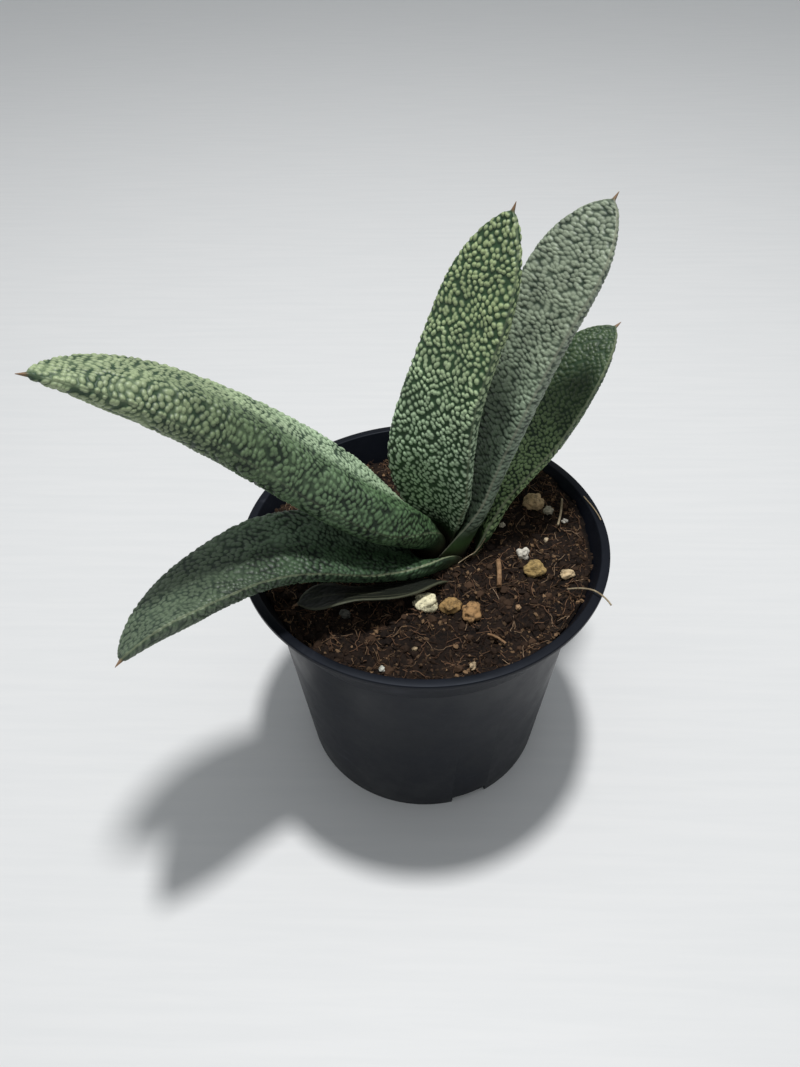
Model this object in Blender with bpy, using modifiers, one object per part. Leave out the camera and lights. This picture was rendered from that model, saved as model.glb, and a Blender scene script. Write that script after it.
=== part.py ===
"""A potted gasteria: thick warty leaves in two ranks on a short stem, set in soil in a black nursery pot.

The model stands on z = 0 with the pot's axis on the Z axis. The viewer stands on the -Y side: the long
and the drooping leaf reach out to -X, the three upright leaves lean towards +X and +Y.
"""

import math
import random
from dataclasses import dataclass
from functools import partial

import bmesh
import bpy
import numpy as np
from mathutils import Matrix, Vector, noise

MM = 0.001
GAP = 0.3 * MM  # left between pieces that touch
WALL_GAP = 0.33 * MM  # between the soil and the pot, whose round wall has flat sides

# The pot, a 9 cm nursery pot
RIM_RADIUS = 45 * MM
RIM_WIDTH = 2.1 * MM
RIM_THICKNESS = 1.2 * MM
RIM_OVERHANG = 0.8 * MM
POT_HEIGHT = 73 * MM
COLLAR_HEIGHT = 12 * MM
COLLAR_STEP = 0.5 * MM
SHOULDER_RADIUS = 39.1 * MM  # outside, just under the collar
BASE_RADIUS = 33.9 * MM
BASE_BEVEL = 0.8 * MM
WALL = 1.0 * MM
FLOOR = 1.2 * MM
POT_SIDES = 60
SLOT_COUNT = 3
SLOT_WIDTH = 10 * MM
SLOT_HEIGHT = 2.8 * MM
SLOT_DEPTH = 5 * MM
SLOT_HEADING = -67.5  # degrees, the middle of the drain slot that faces the viewer

# The soil
SOIL_LEVEL = 66 * MM  # beside the plant
SOIL_RINGS = 10
SOIL_SIDES = 60
SOIL_LUMP = 1.1 * MM
SOIL_LUMP_SIZE = 9 * MM
HEAP = (2.2, 3.0, 3.0)  # per metre: rise to the right, rise to the left, rise to the back right
HOLLOW = 4.5  # per metre: fall to the front left
DIP = (-11 * MM, -11 * MM)  # the middle of the dip that the withered leaf lies in
DIP_DEPTH = 2.1 * MM
DIP_SIZE = 9 * MM

# The stem, a short stepped cone that the leaf bases clasp
PLANT_X = 3.5 * MM
PLANT_Y = 8.0 * MM
HOLE_RADIUS = 15.3 * MM
HOLE_FLARE = 4.0 * MM  # wider at the top
HOLE_LEAN = 2.4 * MM  # and its top lies towards the front left
STEM_FOOT = 52 * MM
STEM_TIP = 61.4 * MM
STEM_TIP_RADIUS = 0.6 * MM
STEM_SIDES = 32

# The leaf surface
RING_SPACING = 1.85 * MM
AROUND_HALF = 11  # points across each face of a leaf
WART_HEIGHT = 0.55 * MM
WART_JITTER = 0.3
WART_START = 0.13  # share of the length where the smooth clasping base ends
MUCRO_LENGTH = 2.6 * MM
MUCRO_RADIUS = 0.38 * MM
MARGIN_POWER = 2.4  # how blunt the two margins are
UPPER_SHARE = 0.25  # of the thickness, above the middle surface
TIP_POWER = 0.75  # how the tip draws in: 0.5 makes it round, 1 makes it pointed
RIDGE_PLACE = 0.68  # of the way from the middle to the front margin


@dataclass
class Leaf:
    """One leaf. Each list of stops is (share of the length, value) from the base to the tip."""

    name: str
    length: float
    seat: float  # height of its base
    ring: float  # radius of its base round the stem
    clasp: float  # degrees that the base wraps round the stem, each way
    channel: float  # degrees that the blade is cupped, each way
    bend: float  # share of the length where the base has turned out into the blade
    climb: tuple  # degrees above level at bend, 0.4, 0.7 and 1
    heading: tuple  # degrees round from +X at 0, 0.5 and 1
    roll: tuple  # degrees about its own length at 0, 0.35, 0.7 and 1
    widths: tuple  # at bend, 0.3 and 0.6
    taper: float  # share of the length where the tip starts to narrow
    thickness: tuple  # at 0, 0.15, 0.5, 0.85 and 1
    warts: float  # height of its warts against WART_HEIGHT
    colour: tuple
    ridge: float = 0  # height of a blunt ridge along the upper face, near the front margin


def stops(values, shares, scale=1.0):
    return [(share, value * scale) for share, value in zip(shares, values)]


LEAVES = [
    Leaf("leaf_upright", 89 * MM, 61 * MM, 2.0 * MM, 68, 18, 0.12,
         climb=(105, 82.5, 68.5, 69.5), heading=(30, 31, 26), roll=(26, 22, 10.5, 10.5),
         widths=(14.2, 23.6, 20.5), taper=0.72, thickness=(1.6, 5.0, 7.0, 5.0, 1.0), warts=1.0,
         colour=(0.12, 0.21, 0.09)),
    Leaf("leaf_left_long", 112 * MM, 60.5 * MM, 3.5 * MM, 70, 16, 0.14,
         climb=(49.5, 47.5, 42.5, 26.5), heading=(227, 197, 225), roll=(10, -12.5, -4, 0),
         widths=(14.6, 22.6, 22.0), taper=0.71, thickness=(1.6, 5.4, 8.0, 5.4, 1.0), warts=0.85,
         colour=(0.13, 0.23, 0.12), ridge=4.2 * MM),
    Leaf("leaf_right_tall", 93.5 * MM, 59 * MM, 6.3 * MM, 120, 24, 0.12,
         climb=(84, 73, 61, 52), heading=(14, 29, 29.5), roll=(-2, 4, 4, 6.5),
         widths=(22.0, 18.6, 20.3), taper=0.78, thickness=(1.6, 4.6, 7.0, 5.0, 1.0), warts=0.8,
         colour=(0.11, 0.19, 0.11)),
    Leaf("leaf_left_drooping", 91 * MM, 57 * MM, 7.9 * MM, 106, 18, 0.15,
         climb=(39.5, 32.5, -1.5, 0.5), heading=(226, 212, 250), roll=(-2, -15.5, 8, 41),
         widths=(24.2, 18.9, 19.1), taper=0.78, thickness=(1.6, 5.2, 6.8, 4.8, 1.0), warts=0.8,
         colour=(0.10, 0.18, 0.10)),
    Leaf("leaf_right_short", 69.5 * MM, 56 * MM, 10.0 * MM, 80, 26, 0.14,
         climb=(73, 44, 57, 27.5), heading=(31, 31, 31), roll=(-1, 2, 6.5, 6.5),
         widths=(21.6, 16.1, 17.9), taper=0.70, thickness=(1.6, 4.2, 5.6, 4.0, 1.0), warts=0.7,
         colour=(0.06, 0.11, 0.05)),
]

WITHERED = Leaf("leaf_withered", 48.5 * MM, 55.5 * MM, 14.2 * MM, 10, 9, 0.20,
                climb=(58.7, 9.8, 12.7, -29.6), heading=(274.3, 203.1, 183.5),
                roll=(21.2, 18.9, 27.9, -34.9), widths=(5.2, 5.0, 9.4), taper=0.72,
                thickness=(1.2, 1.2, 1.2, 1.1, 0.8), warts=0.0, colour=(0.10, 0.10, 0.05))
WITHERED_AROUND_HALF = 8
WITHERED_SPACING = 1.8 * MM

# Mineral grains on the soil: name, x, y, long, wide and high in millimetres, turn in degrees, colour
GRAINS = [
    ("grain_white_large", 0.8, -16.8, 6.0, 4.6, 4.2, 10, (0.78, 0.74, 0.62)),
    ("grain_tan_near", 6.3, -17.6, 4.4, 4.0, 3.4, 30, (0.46, 0.31, 0.16)),
    ("grain_orange", 11.1, -20.0, 4.2, 6.0, 3.6, -12, (0.42, 0.22, 0.10)),
    ("grain_white_small", 24.5, -2.0, 3.0, 3.0, 2.8, 0, (0.72, 0.70, 0.64)),
    ("grain_tan_large", 26.8, -7.6, 5.6, 4.2, 3.8, 8, (0.50, 0.38, 0.18)),
    ("grain_cream", 34.2, -10.0, 3.4, 2.2, 2.2, 5, (0.66, 0.52, 0.34)),
    ("grain_tan_back", 28.3, 15.1, 5.2, 4.4, 4.0, -8, (0.56, 0.42, 0.24)),
    ("grain_grey_back", 31.9, 11.7, 2.6, 2.4, 2.2, 0, (0.50, 0.46, 0.36)),
]
GRAIN_ROUGHNESS = 0.22
GRAIN_SUNK = 0.36  # share of its height that is worn flat underneath


def clear_scene():
    for obj in list(bpy.data.objects):
        bpy.data.objects.remove(obj, do_unlink=True)


def make_collection(name, hidden=False):
    collection = bpy.data.collections.new(name)
    bpy.context.scene.collection.children.link(collection)
    collection.hide_render = hidden
    return collection


def finish_material(name, colour, roughness):
    material = bpy.data.materials.new(name)
    material.use_nodes = True
    shader = material.node_tree.nodes["Principled BSDF"]
    shader.inputs["Base Color"].default_value = (*colour, 1)
    shader.inputs["Roughness"].default_value = roughness
    shader.inputs["Metallic"].default_value = 0
    return material


def add_object(name, mesh, collection, material=None):
    obj = bpy.data.objects.new(name, mesh)
    collection.objects.link(obj)
    if material:
        obj.data.materials.append(material)
    return obj


def turned(name, profile, sides, collection, material=None):
    """A profile of (radius, height) points from the top of the axis to its foot, spun round Z."""
    mesh = bpy.data.meshes.new(name)
    edges = [(i, i + 1) for i in range(len(profile) - 1)]
    mesh.from_pydata([(radius, 0, height) for radius, height in profile], edges, [])
    obj = add_object(name, mesh, collection, material)
    screw = obj.modifiers.new("turn", "SCREW")
    screw.axis = "Z"
    screw.steps = sides
    screw.render_steps = sides
    screw.use_merge_vertices = True
    screw.merge_threshold = 0.00001
    screw.use_smooth_shade = False
    return obj


def baked(obj):
    """Replaces an object's mesh by its evaluated one, without its modifiers."""
    graph = bpy.context.evaluated_depsgraph_get()
    mesh = bpy.data.meshes.new_from_object(obj.evaluated_get(graph))
    obj.modifiers.clear()
    obj.data = mesh
    return obj


def smooth(obj):
    """Shades a round piece smooth, and keeps its edges sharp."""
    baked(obj)
    obj.data.shade_smooth()
    obj.data.set_sharp_from_angle(angle=math.radians(35))
    return obj


def cut(obj, cutter):
    boolean = obj.modifiers.new("cut " + cutter.name, "BOOLEAN")
    boolean.operation = "DIFFERENCE"
    boolean.object = cutter


def make_cutter(name, collection, fill):
    """A helper solid whose mesh the function fill builds in a bmesh."""
    shape = bmesh.new()
    fill(shape)
    mesh = bpy.data.meshes.new(name)
    shape.to_mesh(mesh)
    shape.free()
    obj = add_object(name, mesh, collection)
    obj.hide_render = True
    obj.display_type = "WIRE"
    return obj


def pot_inner_radius(height):
    """Radius of the pot's inner wall: a plain taper up to the collar, then the collar's wider taper."""
    shoulder = POT_HEIGHT - COLLAR_HEIGHT
    low = BASE_RADIUS - WALL
    middle = SHOULDER_RADIUS - WALL
    high = RIM_RADIUS - RIM_WIDTH
    if height < shoulder:
        return low + (middle - low) * height / shoulder
    return middle + (high - middle) * (height - shoulder) / COLLAR_HEIGHT


def make_pot(collection, helpers):
    shoulder = POT_HEIGHT - COLLAR_HEIGHT
    inside = [
        (0, FLOOR),
        (pot_inner_radius(FLOOR) - BASE_BEVEL, FLOOR),
        (pot_inner_radius(FLOOR + BASE_BEVEL), FLOOR + BASE_BEVEL),
        (pot_inner_radius(shoulder), shoulder),
        (pot_inner_radius(POT_HEIGHT), POT_HEIGHT),
    ]
    outside = [
        (RIM_RADIUS - 0.2 * MM, POT_HEIGHT),
        (RIM_RADIUS, POT_HEIGHT - 0.2 * MM),
        (RIM_RADIUS, POT_HEIGHT - RIM_THICKNESS),
        (RIM_RADIUS - RIM_OVERHANG, POT_HEIGHT - RIM_THICKNESS - 0.2 * MM),
        (SHOULDER_RADIUS + COLLAR_STEP, shoulder),
        (SHOULDER_RADIUS, shoulder - COLLAR_STEP),
        (BASE_RADIUS, BASE_BEVEL),
        (BASE_RADIUS - BASE_BEVEL, 0),
        (0, 0),
    ]
    material = finish_material("pot_plastic", (0.018, 0.019, 0.022), 0.45)
    pot = turned("pot", inside + outside, POT_SIDES, collection, material)
    for index in range(SLOT_COUNT):
        turn = Matrix.Rotation(math.radians(SLOT_HEADING + 360 * index / SLOT_COUNT), 4, "Z")
        out = Matrix.Translation((BASE_RADIUS, 0, 0))
        place = turn @ out @ Matrix.Diagonal((2 * SLOT_DEPTH, SLOT_WIDTH, 2 * SLOT_HEIGHT, 1))
        slot = make_cutter(f"slot_{index}", helpers, partial(bmesh.ops.create_cube, size=1, matrix=place))
        cut(pot, slot)
    return smooth(pot)


def soil_height(x, y):
    """Height of the soil's surface: lumpy, heaped towards the back right and low at the front left."""
    right, left, back_right = HEAP
    rise = (right if x > 0 else left) * x * x
    rise += back_right * x * max(y, 0) - HOLLOW * min(x, 0) * min(y, 0)
    rise -= DIP_DEPTH * math.exp(-((x - DIP[0]) ** 2 + (y - DIP[1]) ** 2) / DIP_SIZE**2)
    lumps = noise.noise(Vector((x, y, 0)) / SOIL_LUMP_SIZE)
    lumps += 0.4 * noise.noise(Vector((y, x, 1)) / SOIL_LUMP_SIZE * 2.3)
    return SOIL_LEVEL + rise + SOIL_LUMP * lumps


def make_soil(collection, helpers):
    floor = FLOOR + GAP
    shoulder = POT_HEIGHT - COLLAR_HEIGHT
    edge = pot_inner_radius(SOIL_LEVEL) - WALL_GAP
    top = [(edge * ring / SOIL_RINGS, SOIL_LEVEL) for ring in range(SOIL_RINGS + 1)]
    side = [
        (pot_inner_radius(shoulder) - WALL_GAP, shoulder),
        (pot_inner_radius(floor + BASE_BEVEL) - WALL_GAP, floor + BASE_BEVEL),
        (pot_inner_radius(floor) - WALL_GAP - BASE_BEVEL, floor),
        (0, floor),
    ]
    material = finish_material("soil_peat", (0.055, 0.033, 0.020), 0.95)
    soil = baked(turned("soil", top + side, SOIL_SIDES, collection, material))
    for vertex in soil.data.vertices:
        if vertex.co.z < SOIL_LEVEL - GAP:
            continue
        x, y, _ = vertex.co
        height = min(soil_height(x, y), POT_HEIGHT - 1.2 * MM)
        radius = math.hypot(x, y)
        if radius > edge - GAP:
            vertex.co = Vector((x, y, 0)) * (pot_inner_radius(height) - WALL_GAP) / radius
        vertex.co.z = height
    depth = POT_HEIGHT - STEM_FOOT + GAP
    lean = Matrix.Identity(4)
    lean[0][2] = lean[1][2] = -HOLE_LEAN / math.sqrt(2) / depth
    foot = Matrix.Translation((PLANT_X, PLANT_Y, STEM_FOOT - GAP))
    cone = partial(
        bmesh.ops.create_cone, cap_ends=True, segments=STEM_SIDES, radius1=HOLE_RADIUS,
        radius2=HOLE_RADIUS + HOLE_FLARE, depth=depth,
        matrix=foot @ lean @ Matrix.Translation((0, 0, depth / 2)))
    hole = make_cutter("stem_hole", helpers, cone)
    cut(soil, hole)
    return soil


def make_stem(collection):
    """Each step of the cone lies just under the leaf bases that stand on it."""
    steps = sorted({(leaf.seat, leaf.ring) for leaf in [*LEAVES, WITHERED]}, reverse=True)
    profile = [(0, STEM_TIP), (0.6 * STEM_TIP_RADIUS, STEM_TIP - 0.2 * MM)]
    profile += [(STEM_TIP_RADIUS, STEM_TIP - 0.8 * MM)]
    inner_half = 1.3 * MM
    for (seat, _), after in zip(steps, [*steps[1:], (None, None)]):
        radius = after[1] - inner_half if after[1] else HOLE_RADIUS - 0.9 * MM
        profile += [(profile[-1][0], seat - GAP), (radius, seat - GAP)]
    profile += [(HOLE_RADIUS - 3 * MM, STEM_FOOT + 1 * MM), (HOLE_RADIUS - 5 * MM, STEM_FOOT)]
    profile += [(0, STEM_FOOT)]
    material = finish_material("stem_tissue", (0.30, 0.27, 0.16), 0.8)
    stem = turned("stem", profile, STEM_SIDES, collection, material)
    stem.location = (PLANT_X, PLANT_Y, 0)
    return smooth(stem)


def follow(share, points):
    """A smooth curve through (share, value) points that never swings past them."""
    x = np.array([point[0] for point in points], float)
    y = np.array([point[1] for point in points], float)
    rise = np.diff(y) / np.diff(x)
    slope = np.zeros(len(x))
    slope[0] = rise[0]
    slope[-1] = rise[-1]
    for i in range(1, len(x) - 1):
        if rise[i - 1] * rise[i] > 0:
            slope[i] = 2 * rise[i - 1] * rise[i] / (rise[i - 1] + rise[i])
    share = np.clip(np.asarray(share, float), x[0], x[-1])
    i = np.clip(np.searchsorted(x, share, side="right") - 1, 0, len(x) - 2)
    step = x[i + 1] - x[i]
    u = (share - x[i]) / step
    start = (1 + 2 * u) * (1 - u) ** 2 * y[i] + u * (1 - u) ** 2 * step * slope[i]
    end = u * u * (3 - 2 * u) * y[i + 1] + u * u * (u - 1) * step * slope[i + 1]
    return start + end


def leaf_spine(leaf, share):
    """Points on a leaf's middle line, with the directions across the blade and out of its upper face."""
    fine = np.linspace(0, 1 + MUCRO_LENGTH / leaf.length, 400)
    climb = np.radians(follow(fine, [(0, 90), *stops(leaf.climb, (leaf.bend, 0.4, 0.7, 1))]))
    heading = np.radians(follow(fine, stops(leaf.heading, (0, 0.5, 1))))
    level = np.stack([np.cos(heading), np.sin(heading), 0 * heading], 1)
    along = np.cos(climb)[:, None] * level + np.sin(climb)[:, None] * np.array([0, 0, 1])
    steps = (along[1:] + along[:-1]) / 2 * leaf.length * (fine[1] - fine[0])
    start = np.array([PLANT_X, PLANT_Y, leaf.seat]) + leaf.ring * level[0]
    line = start + np.vstack([np.zeros(3), np.cumsum(steps, 0)])
    point = np.stack([np.interp(share, fine, line[:, axis]) for axis in range(3)], 1)
    climb = np.interp(share, fine, climb)
    heading = np.interp(share, fine, heading)
    roll = np.radians(follow(share, stops(leaf.roll, (0, 0.35, 0.7, 1))))[:, None]
    level = np.stack([np.cos(heading), np.sin(heading), 0 * heading], 1)
    across = np.stack([-np.sin(heading), np.cos(heading), 0 * heading], 1)
    face = np.cos(climb)[:, None] * np.array([0, 0, 1]) - np.sin(climb)[:, None] * level
    return point, np.cos(roll) * across + np.sin(roll) * face, np.cos(roll) * face - np.sin(roll) * across


def leaf_rings(leaf, share, half):
    """Cross-sections of a leaf: a cupped lens with blunt margins, wrapped round the stem at its base.

    The first half of each ring crosses the upper face from one margin to the other, and the second
    half comes back under the lower face.
    """
    point, across, face = leaf_spine(leaf, share)
    base_width = 2 * leaf.ring * math.radians(leaf.clasp)
    widths = stops(leaf.widths, (leaf.bend, 0.3, 0.6), MM)
    width = follow(share, [(0, base_width), *widths, (1, widths[-1][1])])
    narrowing = np.clip((share - leaf.taper) / (1 - leaf.taper), 0, 1)
    half_width = np.maximum(width / 2 * (1 - narrowing**2.3) ** TIP_POWER, MUCRO_RADIUS)
    cup = np.radians(follow(share, [
        (0, leaf.clasp), (leaf.bend, (leaf.clasp + leaf.channel) / 2), (2.2 * leaf.bend, leaf.channel),
        (1, 0.6 * leaf.channel)]))
    thickness = follow(share, stops(leaf.thickness, (0, 0.15, 0.5, 0.85, 1), MM))
    thickness = np.maximum(np.minimum(thickness, 1.1 * half_width), 2 * MUCRO_RADIUS)

    sweep = 1 - 2 * np.arange(half + 1) / half
    sweep = np.concatenate([sweep, sweep[-2:0:-1]])
    upper = np.arange(2 * half) <= half
    lift = (1 - np.abs(sweep) ** MARGIN_POWER) ** 0.5
    even = (thickness <= 2 * MUCRO_RADIUS * 1.001)[:, None]
    above = np.where(even, 0.5, UPPER_SHARE)
    lift = np.where(upper, above, above - 1) * lift
    lift = lift * thickness[:, None]
    hump = follow(share, [(0, 0), (0.12, 0.5), (0.28, 1), (0.7, 1), (1, 0)])[:, None]
    hump = hump * follow(sweep, [(-1, 0), (RIDGE_PLACE, 1), (1, 0)])
    lift = lift + np.where(upper, leaf.ridge * hump, 0)
    angle = cup[:, None] * sweep
    radius = (half_width / cup)[:, None]
    side = radius * np.sin(angle) - lift * np.sin(angle)
    rise = radius * (1 - np.cos(angle)) + lift * np.cos(angle)
    return point[:, None] + side[..., None] * across[:, None] + rise[..., None] * face[:, None]


def outward(rings):
    """Unit normals of a stack of rings, pointing out of the leaf."""
    along = np.gradient(rings, axis=0)
    around = np.roll(rings, -1, 1) - np.roll(rings, 1, 1)
    normal = np.cross(along, around)
    length = np.linalg.norm(normal, axis=2, keepdims=True)
    normal = normal / np.maximum(length, 1e-12)
    middle = rings.mean(1, keepdims=True)
    sign = np.sign((normal * (rings - middle)).sum())
    return normal * sign


def raise_warts(leaf, rings, share, half, seed):
    """Lifts every other point of the two faces, as on a chessboard; the margins stay smooth."""
    draw = random.Random(seed)
    normal = outward(rings)
    fade = np.clip((share - WART_START) / 0.06, 0, 1) * np.clip((0.975 - share) / 0.05, 0, 1)
    raised = rings.copy()
    for i in range(len(share)):
        for j in range(2 * half):
            if j % half == 0 or (i + j) % 2:
                continue
            height = WART_HEIGHT * leaf.warts * fade[i] * (1 + WART_JITTER * draw.uniform(-1, 1))
            raised[i, j] += normal[i, j] * height
    return raised


def loft(name, rings, half, collection, material):
    """A closed skin over the rings, with each quad split so that raised points have low ones round them."""
    count = 2 * half
    faces = []
    for i in range(len(rings) - 1):
        for j in range(count):
            a, b = i * count + j, i * count + (j + 1) % count
            c, d = b + count, a + count
            if (i + j) % 2:
                faces += [(a, b, c), (a, c, d)]
            else:
                faces += [(a, b, d), (b, c, d)]
    for start in (0, (len(rings) - 1) * count):
        faces.append((start, start + 1, start + count - 1))
        for j in range(1, half - 1):
            faces.append((start + j, start + j + 1, start + count - j - 1, start + count - j))
        faces.append((start + half - 1, start + half, start + half + 1))
    mesh = bpy.data.meshes.new(name)
    mesh.from_pydata([tuple(point) for point in rings.reshape(-1, 3)], [], faces)
    shape = bmesh.new()
    shape.from_mesh(mesh)
    bmesh.ops.recalc_face_normals(shape, faces=shape.faces)
    shape.to_mesh(mesh)
    shape.free()
    return add_object(name, mesh, collection, material)


def make_leaf(leaf, spacing, half, seed, collection, roughness=0.5):
    rows = 2 * round(leaf.length / spacing / 2)
    even = np.linspace(0, 1, rows + 1)
    share = even + 0.06 * np.sin(math.pi * even)  # closer together towards the tip
    point_shares = 1 + np.array([0.3, 1]) * MUCRO_LENGTH / leaf.length
    share = np.concatenate([share[:-1], [0.5 * (share[-2] + 1), 1], point_shares])
    rings = leaf_rings(leaf, share, half)
    rings = raise_warts(leaf, rings, share, half, seed)
    skin = finish_material(leaf.name + "_skin", leaf.colour, roughness)
    return loft(leaf.name, rings, half, collection, skin)


def make_grain(name, x, y, long, wide, high, turn, colour, seed, collection):
    """A rough stone that rests on the soil: what would lie below the surface is flattened against it."""
    shape = bmesh.new()
    bmesh.ops.create_icosphere(shape, subdivisions=2, radius=0.5)
    spin = Matrix.Rotation(math.radians(turn), 3, "Z")
    centre = Vector((x, y, 0)) * MM
    lowest = 2.2 * GAP
    level = soil_height(centre.x, centre.y) + lowest + (0.5 - GRAIN_SUNK) * high * MM
    for vertex in shape.verts:
        rough = 1 + GRAIN_ROUGHNESS * noise.noise(vertex.co * 3.1 + Vector((seed, 0, 0))) * 2
        local = Vector((vertex.co.x * long, vertex.co.y * wide, vertex.co.z * high)) * rough * MM
        place = centre + spin @ local
        place.z = max(level + local.z, soil_height(place.x, place.y) + lowest)
        vertex.co = place
    mesh = bpy.data.meshes.new(name)
    shape.to_mesh(mesh)
    shape.free()
    return add_object(name, mesh, collection, finish_material(name + "_stone", colour, 0.9))


def main():
    clear_scene()
    plant = make_collection("potted_gasteria")
    helpers = make_collection("helpers", hidden=True)
    make_pot(plant, helpers)
    make_soil(plant, helpers)
    make_stem(plant)
    for seed, leaf in enumerate(LEAVES, 1):
        make_leaf(leaf, RING_SPACING, AROUND_HALF, seed, plant)
    make_leaf(WITHERED, WITHERED_SPACING, WITHERED_AROUND_HALF, 0, plant, roughness=0.8)
    for seed, grain in enumerate(GRAINS):
        make_grain(*grain, seed * 7.3, plant)


main()
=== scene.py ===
# %% [markdown]
# # A potted gasteria
#
# A gasteria is a small succulent. Its leaves are thick tongues that stand in two ranks, and their
# skin is covered with pale raised dots, called tubercles. This one grows in a thin black nursery
# pot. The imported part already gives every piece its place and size. Here each piece gets a finer
# form on the same measures, and the skin, soil and plastic get their looks.

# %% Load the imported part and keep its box
import math
from dataclasses import dataclass

import bmesh
import bpy
import numpy as np
from mathutils import Matrix, Vector, noise


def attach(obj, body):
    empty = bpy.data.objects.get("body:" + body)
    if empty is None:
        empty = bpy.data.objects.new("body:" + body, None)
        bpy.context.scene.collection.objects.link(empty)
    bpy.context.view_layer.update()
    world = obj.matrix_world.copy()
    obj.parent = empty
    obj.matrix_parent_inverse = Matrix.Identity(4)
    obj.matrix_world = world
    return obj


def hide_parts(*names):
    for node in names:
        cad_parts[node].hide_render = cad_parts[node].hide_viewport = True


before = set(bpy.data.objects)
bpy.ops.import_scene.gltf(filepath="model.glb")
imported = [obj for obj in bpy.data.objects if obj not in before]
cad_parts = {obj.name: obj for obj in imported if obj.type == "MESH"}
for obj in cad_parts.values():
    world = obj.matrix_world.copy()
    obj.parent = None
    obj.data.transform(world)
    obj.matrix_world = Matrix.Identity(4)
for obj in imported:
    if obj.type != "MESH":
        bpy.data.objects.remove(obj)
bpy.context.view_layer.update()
print("solids:", sorted(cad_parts))

MM = 0.001

# %% [markdown]
# ## The camera
#
# The picture was taken from above and in front, about a hand's length away, with a wide lens. A
# camera in Blender looks along its own -Z axis with +Y up, so its matrix holds three directions
# as columns: right, up and backwards.

# %% Camera
EYE = Vector((0, -140.4, 211.5)) * MM
AHEAD = Vector((-0.03034, 0.71211, -0.70141))
UP = Vector((-0.00666, 0.70157, 0.71257))
FOCAL_PIXELS = 800
PICTURE_HEIGHT = 1067  # pixels, the longer side


def new_object(name, data):
    """Puts an object with this mesh, curve, camera or lamp into the scene."""
    obj = bpy.data.objects.new(name, data)
    bpy.context.scene.collection.objects.link(obj)
    return obj


lens = bpy.data.cameras.new("camera")
lens.lens = lens.sensor_width * FOCAL_PIXELS / PICTURE_HEIGHT
lens.clip_start = 10 * MM
camera = new_object("camera", lens)
right = AHEAD.cross(UP).normalized()
turn = Matrix((right, right.cross(AHEAD), -AHEAD)).transposed().to_4x4()
camera.matrix_world = Matrix.Translation(EYE) @ turn
bpy.context.scene.camera = camera
# the Standard view shows colours as a phone's camera does
bpy.context.scene.view_settings.view_transform = "Standard"
print(f"lens {lens.lens:.1f} mm, {EYE.length / MM:.0f} mm from the pot's foot")

# %% [markdown]
# ## Helpers for node trees
#
# Materials and Geometry Nodes are both graphs of nodes. A few short helpers keep the graphs
# readable: `add` makes a node and fills its sockets with numbers or with other nodes' outputs,
# `calc` makes a Math node and `vector` a Vector Math node. The others make the small groups that
# come back often.

# %% Node helpers
def add(tree, kind, inputs=None, **settings):
    """One node. inputs maps a socket's name or number to a value or to an output to join."""
    node = tree.nodes.new(kind)
    for name, value in settings.items():
        setattr(node, name, value)
    for socket, value in (inputs or {}).items():
        if isinstance(value, bpy.types.NodeSocket):
            tree.links.new(value, node.inputs[socket])
        else:
            node.inputs[socket].default_value = value
    return node


def calc(tree, operation, *values, clamp=False):
    """The output of a Math node."""
    settings = {"operation": operation, "use_clamp": clamp}
    return add(tree, "ShaderNodeMath", dict(enumerate(values)), **settings).outputs[0]


def times(tree, first, *others):
    """The product of two or more values."""
    for other in others:
        first = calc(tree, "MULTIPLY", first, other)
    return first


def weighted(tree, first, second):
    """The sum of two (value, weight) pairs."""
    return calc(tree, "ADD", times(tree, *first), times(tree, *second))


def vector(tree, operation, *values):
    """The output of a Vector Math node. SCALE takes a vector and a number."""
    sockets = dict(enumerate(values))
    if operation == "SCALE":
        sockets = {0: values[0], "Scale": values[1]}
    node = add(tree, "ShaderNodeVectorMath", sockets, operation=operation)
    return node.outputs["Value" if operation == "LENGTH" else "Vector"]


def ramp(tree, value, low, high, to_low=0.0, to_high=1.0):
    """A smooth step from to_low to to_high as value goes from low to high."""
    sockets = {"Value": value, "From Min": low, "From Max": high,
               "To Min": to_low, "To Max": to_high}
    node = add(tree, "ShaderNodeMapRange", sockets, interpolation_type="SMOOTHSTEP")
    return node.outputs["Result"]


def blend(tree, factor, first, second, mode="MIX"):
    """A colour between first and second."""
    node = add(tree, "ShaderNodeMix", {0: factor}, data_type="RGBA", blend_type=mode)
    for socket, value in ((node.inputs[6], first), (node.inputs[7], second)):
        if isinstance(value, bpy.types.NodeSocket):
            tree.links.new(value, socket)
        else:
            socket.default_value = (*value, 1)
    return node.outputs[2]


def speckle(tree, vector, scale, detail=2.0, roughness=0.5):
    """The value of a Noise Texture, about 0.3 to 0.7."""
    sockets = {"Vector": vector, "Scale": scale, "Detail": detail, "Roughness": roughness}
    return add(tree, "ShaderNodeTexNoise", sockets).outputs[0]


def new_material(name, roughness, **sockets):
    """A Principled material, its tree and its shader node."""
    material = bpy.data.materials.new(name)
    material.use_nodes = True
    shader = material.node_tree.nodes["Principled BSDF"]
    shader.inputs["Roughness"].default_value = roughness
    for socket, value in sockets.items():
        shader.inputs[socket.replace("_", " ")].default_value = value
    return material, material.node_tree, shader


def join_bump(tree, shader, height, distance, strength):
    """Lets a height value tilt the surface. distance is the height in metres of a value of 1."""
    sockets = {"Height": height, "Distance": distance, "Strength": strength}
    tree.links.new(add(tree, "ShaderNodeBump", sockets).outputs[0], shader.inputs["Normal"])


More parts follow.
